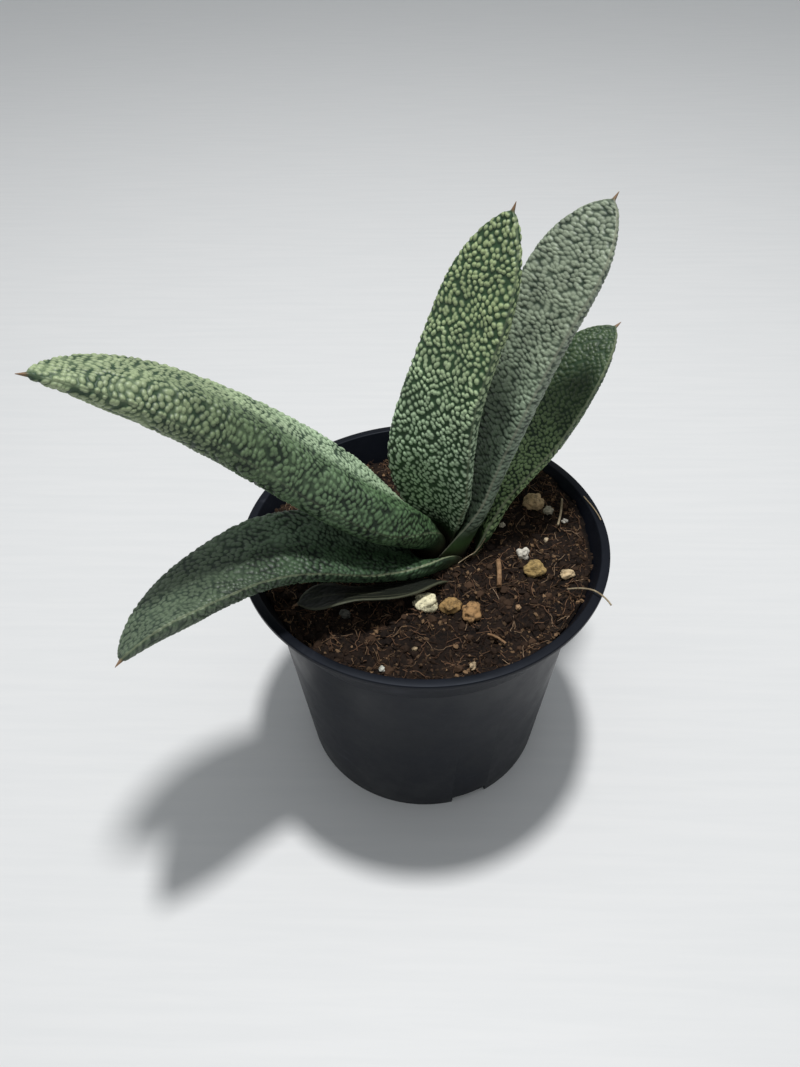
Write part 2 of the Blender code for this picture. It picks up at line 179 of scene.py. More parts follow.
# %% Geometry Nodes helpers
def new_tree(name, sizes):
    """A Geometry Nodes tree whose inputs are a geometry, the numbers in sizes and a material."""
    tree = bpy.data.node_groups.new(name, "GeometryNodeTree")
    tree.interface.new_socket("Geometry", in_out="INPUT", socket_type="NodeSocketGeometry")
    for label, value in sizes.items():
        kind = "NodeSocketInt" if isinstance(value, int) else "NodeSocketFloat"
        tree.interface.new_socket(label, in_out="INPUT", socket_type=kind).default_value = value
    tree.interface.new_socket("Material", in_out="INPUT", socket_type="NodeSocketMaterial")
    tree.interface.new_socket("Geometry", in_out="OUTPUT", socket_type="NodeSocketGeometry")
    return tree, add(tree, "NodeGroupInput").outputs


def end_tree(tree, geometry, material, smooth=True):
    """The last nodes of every tree: real mesh, shading, material and the output."""
    real = add(tree, "GeometryNodeRealizeInstances", {0: geometry}).outputs[0]
    shading = {"Geometry": real, "Shade Smooth": smooth}
    shaded = add(tree, "GeometryNodeSetShadeSmooth", shading).outputs[0]
    coat = {"Geometry": shaded, "Material": material}
    add(tree, "NodeGroupOutput", {0: add(tree, "GeometryNodeSetMaterial", coat).outputs[0]})


def move(tree, geometry, **sockets):
    """Moves points. sockets are Position or Offset, and a Selection if only some points move."""
    return add(tree, "GeometryNodeSetPosition", {"Geometry": geometry, **sockets}).outputs[0]


def finished_mesh(obj):
    """The plain mesh that an object's modifiers or its curve make."""
    bpy.context.view_layer.update()
    graph = bpy.context.evaluated_depsgraph_get()
    return bpy.data.meshes.new_from_object(obj.evaluated_get(graph), depsgraph=graph)


def grow(name, base, tree, material, **sizes):
    """Runs a tree on a base object and keeps the result as a plain mesh object."""
    modifier = base.modifiers.new("grow", "NODES")
    modifier.node_group = tree
    values = {**sizes, "Material": material}
    for item in tree.interface.items_tree:
        if item.in_out == "INPUT" and item.name in values:
            modifier[item.identifier] = values[item.name]
    mesh = finished_mesh(base)
    bpy.data.objects.remove(base)
    mesh.name = name
    triangles = sum(len(face.vertices) - 2 for face in mesh.polygons)
    print(f"{name}: {triangles} triangles")
    return new_object(name, mesh)


def store(mesh, name, values, kind="FLOAT"):
    """Keeps one value or one vector for each vertex under a name that nodes can read."""
    field = "vector" if kind == "FLOAT_VECTOR" else "value"
    attribute = mesh.attributes.new(name, kind, "POINT")
    attribute.data.foreach_set(field, np.ravel(values).astype(np.float32))


# %% [markdown]
# ## The form of a leaf
#
# Each leaf is drawn by a few values along its length, as a maker would note them: how steeply it
# climbs, which way it heads, how it rolls about its own length, how wide and how thick it is.
# Smooth curves run through these values, and a lens-shaped cross-section follows them. The base
# wraps round the stem. The values are those of the solids, so the finer leaf keeps its form,
# apart from the long leaf's foot, which is a little thicker where the other bases hide it.

# %% Leaf values
PLANT_X = 3.5 * MM
PLANT_Y = 8 * MM
POINT_LENGTH = 1.8 * MM  # the horny point at a leaf's tip
POINT_RADIUS = 0.38 * MM
MARGIN_POWER = 2.4  # 2 would make the cross-section an ellipse, more makes its margins blunter
MARGIN_CROWDING = 0.9
UPPER_SHARE = 0.25  # of the thickness that lies above the middle of the blade
TIP_SHAPE = 2.3
TIP_POWER = 0.75
CLIMB_SHARES = (0.4, 0.7, 1)
HEADING_SHARES = (0, 0.5, 1)
ROLL_SHARES = (0, 0.35, 0.7, 1)
WIDTH_SHARES = (0.3, 0.6)
THICKNESS_SHARES = (0, 0.15, 0.5, 0.85, 1)
RIDGE_PLACE = 0.68  # across the upper face, 0 in the middle and 1 at the front margin
RIDGE_RUN = [(0, 0), (0.12, 0.5), (0.28, 1), (0.7, 1), (1, 0)]  # (share of length, of height)


@dataclass
class Leaf:
    """One leaf. Its tuples are values at fixed shares of its length, from foot to tip."""

    name: str
    length: float
    seat: float  # height of its foot
    ring: float  # from the stem's middle to its foot
    clasp: float  # half of the angle that the foot wraps round the stem, in degrees
    channel: float  # half of the angle that the blade is cupped, in degrees
    bend: float  # share of the length where the foot becomes the blade
    climb: tuple  # degrees above the level, after a foot that stands upright
    heading: tuple  # degrees from +X
    roll: tuple  # degrees about its own length
    widths: tuple  # mm
    taper: float  # share of the length where the tip begins
    thickness: tuple  # mm
    ridge: float = 0  # height of a blunt ridge along the upper face


LEAVES = [
    Leaf("leaf_upright", 89 * MM, 61 * MM, 2.0 * MM, 68, 18, 0.12,
         climb=(105, 82.5, 68.5, 69.5), heading=(30, 31, 26), roll=(26, 22, 10.5, 10.5),
         widths=(14.2, 23.6, 20.5), taper=0.72, thickness=(1.6, 5.0, 7.0, 5.0, 1.0)),
    Leaf("leaf_left_long", 112 * MM, 60.5 * MM, 3.5 * MM, 70, 16, 0.14,
         climb=(49.5, 47.5, 42.5, 26.5), heading=(227, 197, 225), roll=(10, -12.5, -4, 0),
         widths=(14.6, 22.6, 22.0), taper=0.71, thickness=(3.2, 6.4, 8.0, 5.4, 1.0),
         ridge=4.2 * MM),
    Leaf("leaf_right_tall", 93.5 * MM, 59 * MM, 6.3 * MM, 120, 24, 0.12,
         climb=(84, 73, 61, 52), heading=(14, 29, 29.5), roll=(-2, 4, 4, 6.5),
         widths=(22.0, 18.6, 20.3), taper=0.78, thickness=(1.6, 4.6, 7.0, 5.0, 1.0)),
    Leaf("leaf_left_drooping", 91 * MM, 57 * MM, 7.9 * MM, 106, 18, 0.15,
         climb=(39.5, 32.5, -1.5, 0.5), heading=(226, 212, 250), roll=(-2, -15.5, 8, 41),
         widths=(24.2, 18.9, 19.1), taper=0.78, thickness=(1.6, 5.2, 6.8, 4.8, 1.0)),
    Leaf("leaf_right_short", 69.5 * MM, 56 * MM, 10.0 * MM, 80, 26, 0.14,
         climb=(73, 44, 57, 27.5), heading=(31, 31, 31), roll=(-1, 2, 6.5, 6.5),
         widths=(21.6, 16.1, 17.9), taper=0.70, thickness=(1.6, 4.2, 5.6, 4.0, 1.0)),
    Leaf("leaf_withered", 48.5 * MM, 55.5 * MM, 14.2 * MM, 10, 9, 0.20,
         climb=(58.7, 9.8, 12.7, -29.6), heading=(274.3, 203.1, 183.5),
         roll=(21.2, 18.9, 27.9, -34.9), widths=(5.2, 5.0, 9.4), taper=0.72,
         thickness=(1.2, 1.2, 1.2, 1.1, 0.8)),
]


# %% Curves through the values
def follow(share, points):
    """A smooth curve through (share, value) points that never swings past them."""
    x = np.array([point[0] for point in points], float)
    y = np.array([point[1] for point in points], float)
    rise = np.diff(y) / np.diff(x)
    slope = np.zeros(len(x))
    slope[0] = rise[0]
    slope[-1] = rise[-1]
    for i in range(1, len(x) - 1):
        if rise[i - 1] * rise[i] > 0:
            slope[i] = 2 * rise[i - 1] * rise[i] / (rise[i - 1] + rise[i])
    share = np.clip(np.asarray(share, float), x[0], x[-1])
    i = np.clip(np.searchsorted(x, share, side="right") - 1, 0, len(x) - 2)
    step = x[i + 1] - x[i]
    u = (share - x[i]) / step
    start = (1 + 2 * u) * (1 - u) ** 2 * y[i] + u * (1 - u) ** 2 * step * slope[i]
    end = u * u * (3 - 2 * u) * y[i + 1] + u * u * (u - 1) * step * slope[i + 1]
    return start + end


def stops(values, shares, scale=1.0):
    """Pairs each value with the share where it holds."""
    return [(share, value * scale) for share, value in zip(shares, values)]


def leaf_spine(leaf, share):
    """Points on a leaf's middle line, the directions across it and those out of its upper face."""
    fine = np.linspace(0, 1 + POINT_LENGTH / leaf.length, 400)
    climb = np.radians(follow(fine, [(0, 90), *stops(leaf.climb, (leaf.bend, *CLIMB_SHARES))]))
    heading = np.radians(follow(fine, stops(leaf.heading, HEADING_SHARES)))
    level = np.stack([np.cos(heading), np.sin(heading), 0 * heading], 1)
    along = np.cos(climb)[:, None] * level + np.sin(climb)[:, None] * np.array([0, 0, 1])
    steps = (along[1:] + along[:-1]) / 2 * leaf.length * (fine[1] - fine[0])
    start = np.array([PLANT_X, PLANT_Y, leaf.seat]) + leaf.ring * level[0]
    line = start + np.vstack([np.zeros(3), np.cumsum(steps, 0)])
    point = np.stack([np.interp(share, fine, line[:, axis]) for axis in range(3)], 1)
    climb = np.interp(share, fine, climb)
    heading = np.interp(share, fine, heading)
    roll = np.radians(follow(share, stops(leaf.roll, ROLL_SHARES)))[:, None]
    level = np.stack([np.cos(heading), np.sin(heading), 0 * heading], 1)
    across = np.stack([-np.sin(heading), np.cos(heading), 0 * heading], 1)
    face = np.cos(climb)[:, None] * np.array([0, 0, 1]) - np.sin(climb)[:, None] * level
    rolled = np.cos(roll) * across + np.sin(roll) * face
    return point, rolled, np.cos(roll) * face - np.sin(roll) * across


def leaf_rings(leaf, share, half):
    """Cross-sections of a leaf: a cupped lens with blunt margins that clasps the stem at its base.

    The first half of each ring crosses the upper face from one margin to the other, and the second
    half comes back under the lower face. sweep says how far across each of its points lies.
    """
    point, across, face = leaf_spine(leaf, share)
    base_width = 2 * leaf.ring * math.radians(leaf.clasp)
    widths = stops(leaf.widths, (leaf.bend, *WIDTH_SHARES), MM)
    width = follow(share, [(0, base_width), *widths, (1, widths[-1][1])])
    narrowing = np.clip((share - leaf.taper) / (1 - leaf.taper), 0, 1)
    half_width = np.maximum(width / 2 * (1 - narrowing**TIP_SHAPE) ** TIP_POWER, POINT_RADIUS)
    cups = [(0, leaf.clasp), (leaf.bend, (leaf.clasp + leaf.channel) / 2),
            (2.2 * leaf.bend, leaf.channel), (1, 0.6 * leaf.channel)]
    cup = np.radians(follow(share, cups))
    thickness = follow(share, stops(leaf.thickness, THICKNESS_SHARES, MM))
    thickness = np.maximum(np.minimum(thickness, 1.1 * half_width), 2 * POINT_RADIUS)

    # points crowd towards the margins, so that the blunt edge is as finely cut as the faces
    sweep = np.cos(np.pi * np.arange(half + 1) / half)
    sweep = np.sign(sweep) * np.abs(sweep) ** MARGIN_CROWDING
    sweep = np.concatenate([sweep, sweep[-2:0:-1]])
    upper = np.arange(2 * half) <= half
    lift = (1 - np.abs(sweep) ** MARGIN_POWER) ** 0.5
    lift = np.where(upper, UPPER_SHARE, UPPER_SHARE - 1) * lift
    lift = lift * thickness[:, None]
    hump = follow(share, RIDGE_RUN)[:, None] * follow(sweep, [(-1, 0), (RIDGE_PLACE, 1), (1, 0)])
    lift = lift + np.where(upper, leaf.ridge * hump, 0)
    angle = cup[:, None] * sweep
    radius = (half_width / cup)[:, None]
    side = radius * np.sin(angle) - lift * np.sin(angle)
    rise = radius * (1 - np.cos(angle)) + lift * np.cos(angle)
    rings = point[:, None] + side[..., None] * across[:, None] + rise[..., None] * face[:, None]
    return rings, sweep


# %% [markdown]
# ## Leaf skins as meshes
#
# A leaf's mesh is a stack of rings joined into quads, closed at both ends. Four values go with
# each vertex, for the nodes to read: `skin` is its place on the unrolled skin in metres, `share`
# how far along the leaf it lies, `rim` how many metres from the nearer margin, and `flank` how
# far across the upper face it lies, from -1 at the back margin to 1 at the front one.

# %% Leaf mesh
FACE_EDGE = 0.29 * MM
POINT_RINGS = 8
POINT_THINNING = 0.85
TIP_CROWDING = 0.04  # rings stand closer together towards the tip


def skin_mesh(leaf):
    """A leaf's smooth skin, before its tubercles are raised."""
    rows = round(leaf.length / FACE_EDGE)
    half = round(max(leaf.widths) * MM * 1.1 / FACE_EDGE)
    share = np.linspace(0, 1, rows + 1)
    share = share + TIP_CROWDING * np.sin(math.pi * share)
    tip = 1 + np.linspace(0, 1, POINT_RINGS + 1)[1:] * POINT_LENGTH / leaf.length
    share = np.concatenate([share, tip])
    rings, sweep = leaf_rings(leaf, share, half)

    # the point at the tip thins out to a needle
    middle = rings.mean(1, keepdims=True)
    thin = np.clip((share - 1) / (POINT_LENGTH / leaf.length), 0, 1)
    rings = middle + (rings - middle) * (1 - POINT_THINNING * thin)[:, None, None]

    count = 2 * half
    around = np.linalg.norm(rings - np.roll(rings, 1, 1), axis=2).cumsum(1)
    whole_way = around[:, -1:] + np.linalg.norm(rings[:, :1] - rings[:, -1:], axis=2)
    start, far = around[:, :1], around[:, half:half + 1]
    rim = np.minimum(np.abs(around - start), np.abs(around - far))
    rim = np.minimum(rim, np.abs(start + whole_way - around))
    around = around - around[:, half // 2][:, None]
    # the pattern's seam is underneath
    around = around - np.where(np.arange(count) > half + half // 2, whole_way, 0)
    points = np.concatenate([rings.reshape(-1, 3), middle[:1, 0], middle[-1:, 0]])
    i, j = np.meshgrid(np.arange(len(share) - 1), np.arange(count), indexing="ij")
    a, b = i * count + j, i * count + (j + 1) % count
    quads = np.stack([a, b, b + count, a + count], -1).reshape(-1, 4).tolist()
    last = (len(share) - 1) * count
    foot = [(k, len(points) - 2, (k + 1) % count) for k in range(count)]
    top = [(last + k, last + (k + 1) % count, len(points) - 1) for k in range(count)]
    mesh = bpy.data.meshes.new(leaf.name)
    mesh.from_pydata(points.tolist(), [], quads + foot + top)
    turn_outward(mesh)

    whole = np.repeat(share[:, None], count, 1)
    skin = np.stack([whole * leaf.length, around, 0 * around], -1).reshape(-1, 3)
    store(mesh, "skin", np.concatenate([skin, skin[:1], skin[-1:]]), "FLOAT_VECTOR")
    flank = np.where(np.arange(count) <= half, sweep, 1.0)
    flank = np.repeat(flank[None], len(share), 0)
    for name, values in (("share", whole), ("rim", rim), ("flank", flank)):
        values = values.ravel()
        store(mesh, name, np.concatenate([values, values[:1], values[-1:]]))
    return mesh


def turn_outward(mesh):
    """Makes a closed mesh's faces look outwards."""
    shape = bmesh.new()
    shape.from_mesh(mesh)
    bmesh.ops.recalc_face_normals(shape, faces=shape.faces)
    shape.to_mesh(mesh)
    shape.free()


# %% [markdown]
# ## Tubercles by Geometry Nodes
#
# The tubercles are low round domes, packed side by side in loose rows, a little over a millimetre
# apart. A Voronoi Texture gives the distance to the nearest of many scattered points, so one
# minus its square is a dome on each point. The pattern is drawn on the unrolled skin, so the
# domes keep their size on a bent leaf. `domes` builds these nodes for any tree: Geometry Nodes
# use it to raise the skin, and the material uses it to colour the same domes.

# %% The dome pattern
PATTERN = ("Spacing", "Across", "Fusing", "Gap", "Seed")
SEED_STEP = 37.0  # how far along the pattern the next seed's leaf begins
TURN = (0.82, 0.57)  # cosine and sine of 35 degrees, so that rows don't run along the leaf
SWAY_SCALE = 0.22
SWAY = (1.6, 1.6, 0)
EVENNESS = 0.75


def domes(tree, skin, spacing, across, fusing, gap, seed):
    """Nodes for the height of the domes, 0 to 1, and the place in the pattern.

    across makes the domes broader across the leaf, fusing melts neighbours together, and gap parts
    them.
    """
    parts = add(tree, "ShaderNodeSeparateXYZ", {0: skin}).outputs
    u = calc(tree, "ADD", calc(tree, "DIVIDE", parts[0], spacing), times(tree, seed, SEED_STEP))
    v = calc(tree, "DIVIDE", parts[1], times(tree, spacing, across))
    turned = weighted(tree, (u, TURN[0]), (v, TURN[1]))
    other = weighted(tree, (v, TURN[0]), (u, -TURN[1]))
    place = add(tree, "ShaderNodeCombineXYZ", {0: turned, 1: other}).outputs[0]
    sway = {"Vector": place, "Scale": SWAY_SCALE, "Detail": 0.0}
    sway = add(tree, "ShaderNodeTexNoise", sway).outputs["Color"]
    swayed = vector(tree, "ADD", place, vector(tree, "MULTIPLY", sway, SWAY))
    cells = {"Vector": swayed, "Scale": 1.0, "Smoothness": fusing, "Randomness": EVENNESS}
    settings = {"voronoi_dimensions": "2D", "feature": "SMOOTH_F1"}
    distance = add(tree, "ShaderNodeTexVoronoi", cells, **settings).outputs["Distance"]
    dome = calc(tree, "POWER", times(tree, distance, gap), 2.0)
    return calc(tree, "SUBTRACT", 1.0, dome, clamp=True), place


# %% The tubercle tree
def tubercle_tree():
    """Raises the domes on a leaf. They grow in after Start and fade at the tip and the margins."""
    sizes = {"Spacing": 1.25 * MM, "Height": 0.4 * MM, "Across": 1.0, "Fusing": 0.1, "Gap": 1.9,
             "Start": 0.15, "Seed": 1}
    tree, given = new_tree("tubercles", sizes)

    def named(name, kind="FLOAT"):
        sockets = {"Name": name}
        node = add(tree, "GeometryNodeInputNamedAttribute", sockets, data_type=kind)
        return node.outputs["Attribute"]

    pattern = [given[label] for label in PATTERN]
    dome, place = domes(tree, named("skin", "FLOAT_VECTOR"), *pattern)
    share = named("share")
    grown = ramp(tree, share, given["Start"], calc(tree, "ADD", given["Start"], 0.08))
    tip = ramp(tree, share, 1.0, 0.985)
    margin = ramp(tree, named("rim"), 0.0, 0.4 * MM, 0.5, 1.0)
    uneven = ramp(tree, speckle(tree, place, SWAY_SCALE, 1.0), 0.3, 0.7, 0.7, 1.1)
    warty = times(tree, times(tree, grown, tip), times(tree, margin, uneven))
    height = times(tree, dome, warty, given["Height"])
    normal = add(tree, "GeometryNodeInputNormal").outputs[0]
    kept = {"Geometry": given["Geometry"], "Name": "warty", "Value": warty}
    kept = add(tree, "GeometryNodeStoreNamedAttribute", kept, data_type="FLOAT").outputs[0]
    raised = move(tree, kept, Offset=vector(tree, "SCALE", normal, height))
    end_tree(tree, raised, given["Material"])
    return tree


tubercles = tubercle_tree()
print(f"tubercles: {len(tubercles.nodes)} nodes")

# %% [markdown]
# ## Leaf skin material
#
# The skin is deep green between the tubercles and a pale grey-green on top of them, with a thin
# pale horny line along each margin, a brown point, and a smooth brownish base where no light
# falls. The tops' colour changes from the base to the tip, partly the leaf's own colour and partly
# painted light and shade, and on two leaves painted shade darkens the flank in front of the ridge.
# All of it is mixed from the values kept on the mesh, so it follows the leaf. The skin is waxy, so
# it has a soft sheen.

# %% Skin material
FOOT_BROWN = (0.07, 0.06, 0.035)
POINT_BROWN = (0.22, 0.13, 0.07)
# the dark green that the painted shade on a leaf's front flank multiplies in
PAINTED_SHADE_GREEN = (0.20, 0.28, 0.19)
CLOUD_SCALE = 170
FINE_SCALE = 2600
STREAK_SCALE = (40, 900, 1)


def skin_material(name, relief, deep, pale, far, blotch=0.0, contrast=(0.1, 0.75),
                  horny=(0.36, 0.40, 0.24), line=0.5, line_width=0.35 * MM,
                  base=(0.06, 0.11, 0.035), streak=0.0, painted_shade=0.0):
    """The skin of one leaf, coloured by its tubercles.

    deep is the skin between the tubercles, pale their tops near the base and far their tops near
    the tip; the change from pale to far is partly the leaf's own colour and partly painted light
    and shade. blotch veils patches with the tops' colour. horny, line and line_width are the
    margin's colour, strength and width, and base is the smooth foot. streak draws lines along a dry
    leaf, and the last value paints shade on the flank in front of the ridge, which turns away from
    the lamp: darkest towards the base, none at the tip.
    """
    material, tree, shader = new_material(name, 0.45)

    def kept(label, output="Fac"):
        return add(tree, "ShaderNodeAttribute", attribute_name=label).outputs[output]

    skin, share = kept("skin", "Vector"), kept("share")
    pattern = [relief[label] for label in PATTERN]
    dome = times(tree, domes(tree, skin, *pattern)[0], kept("warty"))
    cloud = speckle(tree, skin, CLOUD_SCALE, 3.0)
    fine = speckle(tree, skin, FINE_SCALE, 3.0, 0.6)

    # tops and hollows
    crest = ramp(tree, dome, *contrast)
    veil = times(tree, ramp(tree, cloud, 0.42, 0.66), blotch)
    crest = calc(tree, "ADD", crest, times(tree, veil, calc(tree, "SUBTRACT", 1.0, crest)))
    # painted light and shade: the tops go from pale at the base to far at the tip, partly the
    # leaf's own colour and partly its lit and shaded stretches
    tops = blend(tree, ramp(tree, share, 0.35, 0.8), pale, far)
    colour = blend(tree, crest, deep, tops)
    shade = ramp(tree, cloud, 0.3, 0.7, 0.82, 1.15)
    shade = times(tree, ramp(tree, fine, 0.3, 0.7, 0.85, 1.1), shade)
    grey = add(tree, "ShaderNodeCombineColor", {0: shade, 1: shade, 2: shade}).outputs[0]
    colour = blend(tree, 1.0, colour, grey, "MULTIPLY")
    if streak:
        stretched = {"Vector": skin, "Scale": STREAK_SCALE}
        stretched = add(tree, "ShaderNodeMapping", stretched).outputs[0]
        lines = ramp(tree, speckle(tree, stretched, 1.0, 2.0), 0.56, 0.66, 0.0, streak)
        colour = blend(tree, lines, colour, horny)
    # painted shade: the flank in front of the ridge, turned away from the lamp, is multiplied
    # towards a dark green, most near the base and not at the tip
    if painted_shade:
        low = times(tree, ramp(tree, kept("flank"), -0.2, 0.35), ramp(tree, share, 0.9, 0.6))
        low = times(tree, low, ramp(tree, share, 0.5, 0.25, painted_shade, 1.17 * painted_shade))
        colour = blend(tree, low, colour, PAINTED_SHADE_GREEN, "MULTIPLY")

    # the smooth foot, the margins and the point
    foot = blend(tree, ramp(tree, share, 0.04, 0.12), FOOT_BROWN, base)
    start = relief["Start"]
    colour = blend(tree, ramp(tree, share, start - 0.03, start + 0.06), foot, colour)
    sheath = ramp(tree, share, 0.4, 0.12, line, 1.8 * line)
    margin = ramp(tree, kept("rim"), line_width, 0.4 * line_width)
    margin = calc(tree, "MULTIPLY", margin, sheath, clamp=True)
    colour = blend(tree, margin, colour, horny)
    colour = blend(tree, ramp(tree, share, 0.996, 1.006), colour, POINT_BROWN)
    tree.links.new(colour, shader.inputs["Base Color"])
    tree.links.new(ramp(tree, dome, 0.0, 0.9, 0.56, 0.48), shader.inputs["Roughness"])
    join_bump(tree, shader, weighted(tree, (dome, 0.12), (fine, 0.03)), MM, 0.8)
    return material


# %% The look of each leaf
# pale and far hold each leaf's own colours together with painted light and shade along its length
SKINS = {
    "leaf_upright": dict(
        skin=dict(deep=(0.026, 0.066, 0.024), pale=(0.44, 0.58, 0.38), far=(0.33, 0.41, 0.20),
                  line=0.2),
        relief=dict(Spacing=1.24 * MM, Height=0.42 * MM, Across=1.05, Fusing=0.0, Gap=1.85,
                    Start=0.08, Seed=1)),
    # painted shade on the front flank, from the last skin value
    "leaf_left_long": dict(
        skin=dict(deep=(0.024, 0.062, 0.026), pale=(0.40, 0.53, 0.34), far=(0.31, 0.38, 0.21),
                  blotch=0.45, line=0.1, base=(0.03, 0.05, 0.018), painted_shade=0.85),
        relief=dict(Spacing=1.10 * MM, Height=0.40 * MM, Across=1.25, Fusing=0.03, Gap=1.75,
                    Start=0.08, Seed=2)),
    "leaf_right_tall": dict(
        skin=dict(deep=(0.026, 0.048, 0.028), pale=(0.25, 0.33, 0.23), far=(0.28, 0.33, 0.235),
                  blotch=0.25, contrast=(0.0, 0.85), horny=(0.40, 0.42, 0.30), line=0.45,
                  base=(0.075, 0.15, 0.045)),
        relief=dict(Spacing=0.80 * MM, Height=0.34 * MM, Across=2.0, Fusing=0.12, Gap=1.5,
                    Start=0.12, Seed=3)),
    # painted shade on the front flank, from the last skin value
    "leaf_left_drooping": dict(
        skin=dict(deep=(0.024, 0.048, 0.026), pale=(0.20, 0.30, 0.19), far=(0.108, 0.150, 0.090),
                  blotch=0.5, line=0.3, base=(0.02, 0.045, 0.015), painted_shade=0.85),
        relief=dict(Spacing=1.05 * MM, Height=0.32 * MM, Across=1.15, Fusing=0.12, Gap=1.6,
                    Start=0.08, Seed=4)),
    "leaf_right_short": dict(
        skin=dict(deep=(0.018, 0.048, 0.016), pale=(0.36, 0.51, 0.23), far=(0.055, 0.09, 0.037),
                  blotch=0.15, line=0.4, line_width=0.4 * MM),
        relief=dict(Spacing=0.95 * MM, Height=0.26 * MM, Across=1.2, Fusing=0.1, Gap=1.7,
                    Start=0.12, Seed=5)),
    "leaf_withered": dict(
        skin=dict(deep=(0.004, 0.006, 0.0035), pale=(0.010, 0.012, 0.008),
                  far=(0.012, 0.014, 0.009), horny=(0.075, 0.08, 0.048), line=0.8,
                  line_width=0.8 * MM, base=(0.015, 0.018, 0.01), streak=0.5),
        relief=dict(Spacing=1.6 * MM, Height=0.05 * MM, Across=0.4, Fusing=0.6, Gap=1.4,
                    Start=0.2, Seed=6)),
}

# %% Grow the leaves
for leaf in LEAVES:
    look = SKINS[leaf.name]
    material = skin_material(leaf.name + "_skin", look["relief"], **look["skin"])
    base = new_object(leaf.name + "_base", skin_mesh(leaf))
    piece = grow(leaf.name + "_fine", base, tubercles, material, **look["relief"])
    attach(piece, "root")
    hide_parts(leaf.name)

# %% [markdown]
# ## The pot
#
# A nursery pot is moulded in one thin wall: a flat rim, a flaring collar, a small step where pots
# in a stack rest on each other, and a tapering body with three slots at its foot. Its shape is
# one outline turned round the axis, so the mesh is made by spinning that outline. The slots are
# cut by a Boolean.

# %% Pot sizes
RIM_RADIUS = 45 * MM
RIM_WIDTH = 2.1 * MM
RIM_THICKNESS = 1.2 * MM
RIM_OVERHANG = 0.8 * MM
RIM_SLOPE = 0.2 * MM
POT_HEIGHT = 73 * MM
COLLAR_HEIGHT = 12 * MM
COLLAR_STEP = 0.5 * MM
SHOULDER_RADIUS = 39.1 * MM
BASE_RADIUS = 33.9 * MM
WALL = 1 * MM
FLOOR = 1.2 * MM
SLOT_COUNT = 3
SLOT_WIDTH = 10 * MM
SLOT_HEIGHT = 2.8 * MM
SLOT_DEPTH = 5 * MM
SLOT_HEADING = -67.5  # degrees from +X
POT_STEPS = 192
EDGE_ROUND = 0.25 * MM


# %% Turned shapes
def to_mesh(shape, name):
    """Turns a BMesh into a mesh and frees it."""
    mesh = bpy.data.meshes.new(name)
    shape.to_mesh(mesh)
    shape.free()
    return mesh


def turned_mesh(name, outline, steps, rounding):
    """An outline of (radius, height) points spun round Z. rounding cuts its corners back."""
    shape = bmesh.new()
    verts = [shape.verts.new((radius, 0, height)) for radius, height in outline]
    for pair in zip(verts, verts[1:]):
        shape.edges.new(pair)
    corners = [v for v in verts if v.co.x > rounding and len(v.link_edges) == 2]
    round_off = {"offset": rounding, "segments": 3, "affect": "VERTICES", "profile": 0.5}
    bmesh.ops.bevel(shape, geom=corners, **round_off)
    geom = shape.verts[:] + shape.edges[:]
    axis = {"axis": (0, 0, 1), "cent": (0, 0, 0), "angle": math.tau}
    bmesh.ops.spin(shape, geom=geom, **axis, steps=steps, use_merge=True)
    bmesh.ops.remove_doubles(shape, verts=shape.verts, dist=0.001 * MM)
    bmesh.ops.recalc_face_normals(shape, faces=shape.faces)
    return to_mesh(shape, name)


def inner_radius(height):
    """Radius of the pot's inner wall at a height."""
    shoulder = POT_HEIGHT - COLLAR_HEIGHT
    low, middle, high = BASE_RADIUS - WALL, SHOULDER_RADIUS - WALL, RIM_RADIUS - RIM_WIDTH
    if height < shoulder:
        return low + (middle - low) * height / shoulder
    return middle + (high - middle) * (height - shoulder) / COLLAR_HEIGHT


# %% Pot mesh
def pot_mesh():
    """The pot's outline, up the inside and down the outside, turned."""
    shoulder = POT_HEIGHT - COLLAR_HEIGHT
    inside = [
        (0, FLOOR),
        (inner_radius(FLOOR), FLOOR),
        (inner_radius(shoulder), shoulder),
        (inner_radius(POT_HEIGHT), POT_HEIGHT),
    ]
    outside = [
        (RIM_RADIUS, POT_HEIGHT),
        (RIM_RADIUS, POT_HEIGHT - RIM_THICKNESS),
        (RIM_RADIUS - RIM_OVERHANG, POT_HEIGHT - RIM_THICKNESS - RIM_SLOPE),
        (SHOULDER_RADIUS + COLLAR_STEP, shoulder),
        (SHOULDER_RADIUS, shoulder - COLLAR_STEP),
        (BASE_RADIUS, 0),
        (0, 0),
    ]
    return turned_mesh("pot", inside + outside, POT_STEPS, EDGE_ROUND)


def cut_slots(pot):
    """Cuts the drain slots out of the foot."""
    for index in range(SLOT_COUNT):
        heading = math.radians(SLOT_HEADING + 360 * index / SLOT_COUNT)
        place = Matrix.Rotation(heading, 4, "Z") @ Matrix.Translation((BASE_RADIUS, 0, 0))
        place = place @ Matrix.Diagonal((2 * SLOT_DEPTH, SLOT_WIDTH, 2 * SLOT_HEIGHT, 1))
        shape = bmesh.new()
        bmesh.ops.create_cube(shape, size=1, matrix=place)
        cutter = new_object("slot", to_mesh(shape, "slot"))
        boolean = pot.modifiers.new("slot", "BOOLEAN")
        boolean.operation = "DIFFERENCE"
        boolean.object = cutter
        mesh = finished_mesh(pot)
        pot.modifiers.clear()
        pot.data = mesh
        bpy.data.objects.remove(cutter)


# %% [markdown]
# ## Black plastic
#
# The pot's plastic is nearly black with a blue cast. It is matt with a soft sheen, faintly
# pebbled by the mould, dulled by a little dust, and rubbed in a few places. Noise on Object
# coordinates gives the pebbling and the dust; stretched noise gives rubbed marks that run round
# the pot.

# %% Pot material
PLASTIC = (0.004, 0.005, 0.008)
DUSTY = (0.009, 0.010, 0.016)
RUBBED = (0.05, 0.053, 0.064)


